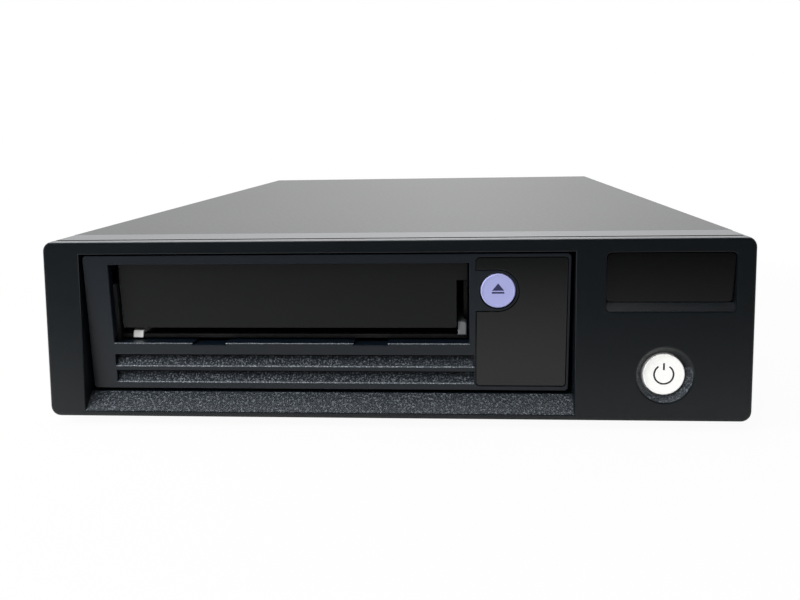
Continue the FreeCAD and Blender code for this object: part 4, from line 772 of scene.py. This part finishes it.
def is_lit_edge(face):
    """The small rounds along the lower edges of the slot and of both grooves."""
    middle = place(face)
    return (-87 < middle.x < 26 and middle.y < 6.4 and face.normal.z > 0.25 and face.normal.y < -0.1
            and min(abs(middle.z - z) for z in (21.95, 9.3, 14.5)) < 0.28)


bezel.data.materials.append(bezel_abs)
# The groove floors take the lighter coarse etch: painted light on upward slopes.
second_finish(bezel, bezel_coarse, is_groove)
# The lower edges' small rounds get a painted highlight.
second_finish(bezel, painted_edge_highlight, is_lit_edge)
settle(bezel, "enclosure", "drive_moulding", bezel_abs, "drive_bezel")

# %% [markdown]
# ## Lens, eject button and door
# The lens is smoked acrylic: nearly black, but polished, so it mirrors the set clearly. The function
# that cut its pocket makes it too, 0.12 mm smaller all round.

# %% Lens
smoked = glossy("smoked acrylic, polished", "#090B0B", 0.13)
lens = lens_shape("smoked_lens", BEZEL_FRONT, 7.4, 0.12)
ease(lens, 0.2, on_front, 2)
settle(lens, "enclosure", "lens_gloss", smoked, "display_window")

# %% [markdown]
# The eject button is a lilac cap in a round bore that the lens steps round. Like the power button it
# is a cylinder with a dish in its end, a flange and a stem. Its mark is a small triangle over a bar.

# %% Eject button
lilac = glossy("lilac satin ABS", "#A2A6D8", 0.34)
navy_print = glossy("navy print", "#2E2F55", 0.5)
eject = barrel("eject_cap", 5.15, EJECT, 5.55, 8.9)
edit(eject)
choose(eject, "FACE", faces_front)
bpy.ops.mesh.inset(thickness=0.55 * MM)
bpy.ops.mesh.inset(thickness=0.25 * MM)
bpy.ops.transform.translate(value=(0, 0.12 * MM, 0))
leave()
ease(eject, 0.28, lambda e: sharp(e, 60) and place(e).y < 5.6, 3)
carve(eject, barrel("eject_flange", 6.25, EJECT, 8.7, 9.7, sides=48), "UNION")
carve(eject, barrel("eject_stem", 1.5, EJECT, 9.5, 10.1, sides=24), "UNION")
settle(eject, "eject_button", "lilac_cap", lilac, "eject_button")

# %% [markdown]
# The eject mark is printed in navy. Its triangle is a small block whose two upper corners are drawn
# together.

# %% Eject mark
x, z = EJECT
mark = block("eject_mark", (x - 1.85, 5.64, z - 0.85), (x + 1.85, 5.68, z - 0.32))
arrow = block("eject_arrow", (x - 1.8, 5.64, z + 0.05), (x + 1.8, 5.68, z + 2.2))
edit(arrow)
choose(arrow, "VERT", lambda v: place(v).z > z + 1)
bpy.ops.transform.resize(value=(0.02, 1, 1), center_override=spot(x, 5.66, z + 2.2))
leave()
carve(mark, arrow, "UNION")
settle(mark, "eject_button", "lilac_cap", navy_print)

# %% [markdown]
# Behind the slot hangs the door, a flap on a thin pin. Its lower edge is rounded so that a cartridge
# rides over it, and the small round at its left end gets a painted highlight. An ear at the right
# reaches over to the hinge.

# %% Cartridge door
DOOR_FRONT = 8.85
door = block("door_flap", (-84.4, DOOR_FRONT, 26.2), (20.4, 10.35, SLOT_HIGH))
ease(door, 0.7, lambda e: along(e, 1) and place(e).z < 30, 4)
carve(door, block("door_ear", (19.4, DOOR_FRONT, 41.0), (23.7, 10.35, SLOT_HIGH)), "UNION")
tidy(door)


def on_door_front(edge):
    """A sharp edge of the door's front, apart from its top."""
    flat = all(abs(place(v).y - DOOR_FRONT) < 0.01 for v in edge.verts)
    return flat and sharp(edge) and place(edge).z < 46


def is_left_end(face):
    """The small round at the door's left end."""
    middle = place(face)
    return face.normal.x < -0.3 and face.normal.y < -0.1 and middle.z < 45 and middle.x < -83


ease(door, 0.3, on_door_front, 3)
carve(door, cross_bar("door_barrel", 0.9, HINGE, -84.4, 23.7), "UNION")
carve(door, cross_bar("door_pin", 0.6, HINGE, -90.8, 26.0, sides=16), "UNION")
door.data.materials.append(door_abs)
# The door's left end gets a painted highlight.
second_finish(door, painted_edge_highlight, is_left_end)
settle(door, "cartridge_door", "door_moulding", door_abs, "cartridge_door")

# %% [markdown]
# ## Guides and catch of the tray
# Under the door two small pieces show: the rounded nose of the right guide rail, and at the left the
# white catch that holds a cartridge. Both are acetal, which is slippery, slightly waxy to look at and
# needs no grease. Each rail is a strip with rounded ends.

# %% Guides
acetal_grey = glossy("grey acetal", "#6C6E71", 0.38)
acetal_white = glossy("white acetal", "#EDEDEB", 0.4)
rails = block("guide_rails", (20.6, 9.6, 23.8), (23.4, 14.2, 28.0))
ease(rails, 1.1, lambda e: along(e, 1) and place(e).z > 27 and place(e).x > 22, 5)
ease(rails, 0.5, lambda e: sharp(e) and place(e).y < 9.7, 3)
carve(rails, block("right_rail", (20.6, 14.0, 23.8), (22.4, 93.0, 28.0)), "UNION")
left = block("left_rail", (-84.8, 37.0, 23.8), (-83.0, 105.0, 28.0))
ease(left, 0.4, lambda e: along(e, 1) or along(e, 2), 2)
alone(rails)
left.select_set(True)
bpy.ops.object.join()
settle(rails, "cartridge_tray", "guide_grey", acetal_grey, "tray_guides")

# %% [markdown]
# The catch is a thin spring strip with a bump that drops into the cartridge's notch. Its front end
# is folded down into the lip that shows.

# %% Catch
BUMP = 12.6
catch = block("cartridge_catch_spring", (-82.3, 11.4, 23.8), (-79.0, 25.0, 24.7))
edit(catch)
bpy.ops.mesh.select_all(action="SELECT")
bpy.ops.mesh.bisect(plane_co=spot(0, BUMP, 0), plane_no=(0, 1, 0))
leave()
shift(catch, lambda v: abs(place(v).y - BUMP) < 0.1 and place(v).z > 24, z=0.7)
shift(catch, lambda v: place(v).y > 24 and place(v).z > 24, z=-0.3)
ease(catch, 0.2, sharp, 2)
lip = block("catch_lip", (-82.3, 10.6, 22.75), (-79.0, 11.6, 25.1))
shift(lip, lambda v: place(v).z > 24, x=0.35)
ease(lip, 0.2, lambda e: along(e, 2) or place(e).z > 25, 2)
carve(catch, lip, "UNION")
settle(catch, "cartridge_tray", "catch_white", acetal_white, "cartridge_catch")

# %% [markdown]
# ## The cover
# The cover is painted before it is fitted. The paint is a sprayed powder coat: orange peel about
# 1.5 mm across, with a fine mist of 0.3 mm on it, and very faint clouds about 110 mm wide in its
# colour.

# %% Cover paint
paint, tree, where = new_material("satin charcoal paint on steel")
peel = noise(tree, where, 1.5, Detail=2.0)
mist = noise(tree, where, 0.3, Detail=1.0)
height = add(tree, "ShaderNodeMath", {"operation": "MULTIPLY_ADD", 1: 0.35}, {0: mist, 2: peel})
cloud = add(tree, "ShaderNodeTexNoise", {"Scale": 9.0, "Detail": 3.0}, {"Vector": where})
tint = add(tree, "ShaderNodeMix", {"data_type": "RGBA", 6: colour("#3C3D3E"), 7: colour("#454647")},
           {0: cloud.outputs["Fac"]})
surface(tree, {"IOR": 1.52}, {"Base Color": tint.outputs[2], "Roughness": spread(tree, peel, 0.34, 0.42),
                              "Normal": relief(tree, height.outputs[0], 0.12, 0.03)})
print(paint.name, "is mixed")

# %% [markdown]
# The cover is one sheet of steel, 1 mm thick, folded down at both sides. A fold always has a radius.
# So the block's long top edges are rounded first, its open sides are taken away, and Solidify gives
# the sheet its thickness to the inside. Three tabs at the back take the screws.

# %% Folded cover
BACK = 324.0
SCREW_HEIGHT = 47.0
cover = block("folded_cover", (-105.5, BASE_FRONT, 0.2), (105.5, BACK, HEIGHT))
ease(cover, 1.5, lambda e: along(e, 1) and place(e).z > 50, 5)
edit(cover)
choose(cover, "FACE", lambda f: abs(f.normal.y) > 0.9 or f.normal.z < -0.9)
bpy.ops.mesh.delete(type="FACE")
leave()
apply_modifier(cover, "SOLIDIFY", thickness=1.0 * MM, offset=-1.0, use_even_offset=True)
for x in (-91.5, -8.0, 91.5):
    tab = block("screw_tab", (x - 6, BACK - 1, 43.0), (x + 6, BACK, 53.5))
    ease(tab, 1.5, lambda e: along(e, 1) and place(e).z < 45, 4)
    carve(tab, barrel("tab_hole", 1.5, (x, SCREW_HEIGHT), BACK - 2, BACK + 1, sides=24))
    carve(cover, tab, "UNION")
tidy(cover)
ease(cover, 0.15, lambda e: sharp(e, 60), 1)
settle(cover, "enclosure", "cover_paint", paint, "top_cover")

# %% [markdown]
# ## Feet and screws
# One foot is modelled and copied: a rubber disc with a rounded lower edge and a shallow dish. The
# screws are pan heads, whose cross recess is cut with two thin blocks. Each copy gets its own mesh,
# and the copies are joined, because the CAD model holds them as one node.

# %% Copies
def copied(piece, moves):
    """Copies a piece to places given as shifts in millimetres, and joins them into one."""
    copies = []
    for move in moves:
        alone(piece)
        bpy.ops.object.duplicate()
        twin = bpy.context.active_object
        bpy.ops.transform.translate(value=Vector(move) * MM)
        bpy.ops.object.transform_apply(location=True, rotation=True, scale=True)
        copies.append(twin)
    alone(piece)
    for twin in copies:
        twin.select_set(True)
    bpy.ops.object.join()


# %% Feet
foot = round_bar("rubber_foot", 7.2, spot(-82.5, 47, -3), spot(-82.5, 47, 0), 8.0, sides=64)
ease(foot, 0.7, lambda e: sharp(e) and place(e).z < -2.9, 3)
edit(foot)
choose(foot, "FACE", lambda f: f.normal.z < -0.99 and len(f.verts) > 30)
bpy.ops.mesh.inset(thickness=1.6 * MM)
bpy.ops.transform.translate(value=(0, 0, 0.5 * MM))
leave()
copied(foot, [(165, 0, 0), (0, 253, 0), (165, 253, 0)])
rubber = glossy("black rubber", "#161616", 0.7)
settle(foot, "enclosure", "foot_rubber", rubber, "rubber_feet")

# %% [markdown]
# Zinc plate is a soft, slightly yellow white metal, with a haze in patches of 0.6 mm.

# %% Screws
screw_zinc, tree, where = new_material("zinc-plated screw steel")
haze = noise(tree, where, 0.6, Detail=3.0)
surface(tree, {"Base Color": colour("#B9B8B2"), "Metallic": 1.0},
        {"Roughness": spread(tree, haze, 0.22, 0.4)})


def pan_head(name, seat, out, head_height, length):
    """A pan-head screw whose head stands on a seat and faces out."""
    top = seat + out * head_height * MM
    head = round_bar(name, 2.8, seat, top, 2.2, sides=48)
    ease(head, 0.35, lambda e: sharp(e) and (e.verts[0].co - top).dot(out) > -0.01 * MM, 3)
    shank = round_bar("shank", 1.38, seat - out * length * MM, seat + out * 0.2 * MM, sides=24)
    carve(head, shank, "UNION")
    for wide, tall in ((1.3, 0.28), (0.28, 1.3)):
        bpy.ops.object.select_all(action="DESELECT")
        bpy.ops.mesh.primitive_cube_add(size=1, location=top,
                                        rotation=out.to_track_quat("Z", "Y").to_euler(),
                                        scale=(2 * wide * MM, 2 * tall * MM, 1.8 * MM))
        carve(head, started("recess"))
    return head


# Three hold the cover's tabs, the last two hold the fan.
rear = pan_head("rear_screw", spot(-91.5, BACK, SCREW_HEIGHT), Vector((0, 1, 0)), 2.0, 5.0)
copied(rear, [(83.5, 0, 0), (183.0, 0, 0), (105.5, -1, -36), (137.5, -1, -4)])
settle(rear, "enclosure", "screw_steel", screw_zinc, "rear_screws")

# %% [markdown]
# ## The fan's impeller
# Seven blades stand on a hub. Each blade is a thin plate whose back edge is pushed sideways, which
# gives it its pitch, and is then turned about the hub to its place.

# %% Fan impeller
FAN = (30, 27)
BLADES = 7
impeller = barrel("fan_rotor", 9.0, FAN, 303, 318.4, sides=64)
ease(impeller, 0.8, lambda e: sharp(e, 60), 3)
for i in range(BLADES):
    blade = block("blade", (FAN[0] + 8, 304.0, FAN[1] - 4.6), (FAN[0] + 17.2, 317.4, FAN[1] - 3.6))
    shift(blade, lambda v: place(v).y > 310, z=7.0)
    ease(blade, 0.4, lambda e: along(e, 0), 2)
    edit(blade)
    bpy.ops.mesh.select_all(action="SELECT")
    bpy.ops.transform.rotate(value=i * 2 * math.pi / BLADES, orient_axis="Y",
                             center_override=spot(FAN[0], 310, FAN[1]))
    leave()
    carve(impeller, blade, "UNION")
black_plastic = glossy("black glass-filled PBT", "#141415", 0.45)
settle(impeller, "fan_impeller", "black_plastic", black_plastic, "fan_impeller")

# %% [markdown]
# ## Finishes inside the case
# The pieces that the cover hides are real ones too, and show when the case is taken apart. Metals
# differ in how they were made: zinc plate has a crystal haze, drawn cans have lines along their
# length, cast alloy is pebbled, and turned rollers shine.

# %% Metals
def metal(name, hex_code, rough, cell_mm, stretch=(1, 1, 1), relief_mm=0.01):
    """Bare or plated metal, with haze in cells of a given width that may be stretched into lines."""
    material, tree, where = new_material(name)
    lines = add(tree, "ShaderNodeMapping", {"Scale": stretch}, {"Vector": where})
    haze = noise(tree, lines.outputs["Vector"], cell_mm, Detail=3.0)
    surface(tree, {"Base Color": colour(hex_code), "Metallic": 1.0},
            {"Roughness": spread(tree, haze, rough - 0.08, rough + 0.1, 0.3, 0.7),
             "Normal": relief(tree, haze, 0.15, relief_mm)})
    return material


zinc_sheet = metal("zinc-plated sheet steel", "#B2B3B1", 0.36, 2.5)
nickel_shell = metal("nickel-plated stamped shell", "#C2C0BA", 0.26, 1.5)
brass = metal("gold-flashed brass pins", "#D0B264", 0.24, 0.8)
spring_steel = metal("spring steel wire", "#9A9CA0", 0.28, 0.4)
cast_alloy = metal("die-cast zinc alloy, pebbled", "#A9AAAC", 0.46, 0.7, relief_mm=0.05)
can_steel = metal("drawn steel motor can", "#A8AAAC", 0.32, 3.0, stretch=(1, 1, 12))
roller_alloy = metal("turned aluminium", "#C4C5C7", 0.22, 2.0, stretch=(1, 1, 20))
print("metals made")

# %% [markdown]
# The plastics inside are smooth mouldings, so the function for gloss plastic serves them all. Only
# their colour and their gloss differ.

# %% Plastics and rubber
# The tray is steel; its near-black colour is painted shade for the dark inside of the slot.
tray_painted_shade = glossy("steel tray, darkened as painted shade", "#111112", 0.45)
acetal_natural = glossy("natural acetal gears", "#DAD8CE", 0.4)
lead_black = glossy("black PVC leads", "#0F0F10", 0.42)
sleeve = glossy("shrunk capacitor sleeve", "#14161F", 0.28)
reel_black = glossy("smooth black reel", "#161618", 0.26)
ceramic = glossy("lapped ferrite ceramic", "#1C1A19", 0.09)
print("inner plastics made")

# %% [markdown]
# A circuit board is green solder mask over copper. The tracks are the thin lines of a brick pattern,
# 2.4 mm long, that stand 0.03 mm proud and show through the mask a little lighter.

# %% Circuit board
board, tree, where = new_material("circuit board, green solder mask")
tracks = add(tree, "ShaderNodeTexBrick",
             {"Scale": 1 / (1.2 * MM), "Mortar Size": 0.18, "Mortar Smooth": 0.3,
              "Brick Width": 2.0, "Row Height": 0.5}, {"Vector": where}).outputs["Fac"]
tint = add(tree, "ShaderNodeMix", {"data_type": "RGBA", 6: colour("#0C3D22"), 7: colour("#17583A")},
           {0: tracks})
surface(tree, {"IOR": 1.5}, {"Base Color": tint.outputs[2], "Roughness": spread(tree, tracks, 0.26, 0.40),
                             "Normal": relief(tree, tracks, 0.5, 0.03)})
print(board.name, "is made")

# %% [markdown]
# Ribbon cable and coil tape are both stripes: the ribbon's conductors lie 1.27 mm apart, the coil's
# turns show through the yellow tape every 0.8 mm. A wave texture repeats every 2 pi / 20 of its unit,
# so its scale turns the pitch into that measure.

# %% Ribbon cable and coil tape
def striped(name, light, dark, pitch_mm, direction, rough):
    """Soft plastic with stripes at a pitch along X or Z."""
    material, tree, where = new_material(name)
    wave = add(tree, "ShaderNodeTexWave",
               {"Scale": math.tau / 20 / (pitch_mm * MM), "bands_direction": direction},
               {"Vector": where}).outputs["Fac"]
    tint = add(tree, "ShaderNodeMix", {"data_type": "RGBA", 6: colour(dark), 7: colour(light)},
               {0: wave})
    surface(tree, {"IOR": 1.5}, {"Base Color": tint.outputs[2],
                                 "Roughness": spread(tree, wave, rough, rough + 0.1),
                                 "Normal": relief(tree, wave, 0.6, 0.15)})
    return material


ribbon = striped("grey PVC ribbon cable", "#9A9DA1", "#74777B", 1.27, "X", 0.42)
coil_tape = striped("yellow coil tape over copper", "#D1A32A", "#B58718", 0.8, "Z", 0.38)
print("striped finishes made")

# %% [markdown]
# The CAD record says which finish each node has, so one table joins the record's names to the
# materials, and every node takes its own.

# %% Every node of the frame gets its finish
finishes = {
    "charcoal_moulding": charcoal, "drive_moulding": bezel_abs, "door_moulding": door_abs,
    "cover_paint": paint, "badge_gloss": badge_gloss, "white_cap": white_cap, "lens_gloss": smoked,
    "lilac_cap": lilac, "guide_grey": acetal_grey, "catch_white": acetal_white, "foot_rubber": rubber,
    "screw_steel": screw_zinc, "black_plastic": black_plastic, "circuit_board": board,
    "zinc_sheet": zinc_sheet, "pin_brass": brass, "port_shell": nickel_shell, "coil_tape": coil_tape,
    "capacitor_sleeve": sleeve, "ribbon_grey": ribbon, "black_lead": lead_black,
    "spring_steel": spring_steel, "cast_alloy": cast_alloy, "tray_steel": tray_painted_shade,
    "gear_white": acetal_natural, "motor_can": can_steel, "reel_black": reel_black,
    "roller_alloy": roller_alloy, "head_ceramic": ceramic,
}
slots = {part["node"]: part["material_slot"] for part in frame["record"]["subparts"]}
for name, node in NODES.items():
    node.data.materials.clear()
    node.data.materials.append(finishes[slots[name]])
print(len(finishes), "finishes on", len(NODES), "nodes")
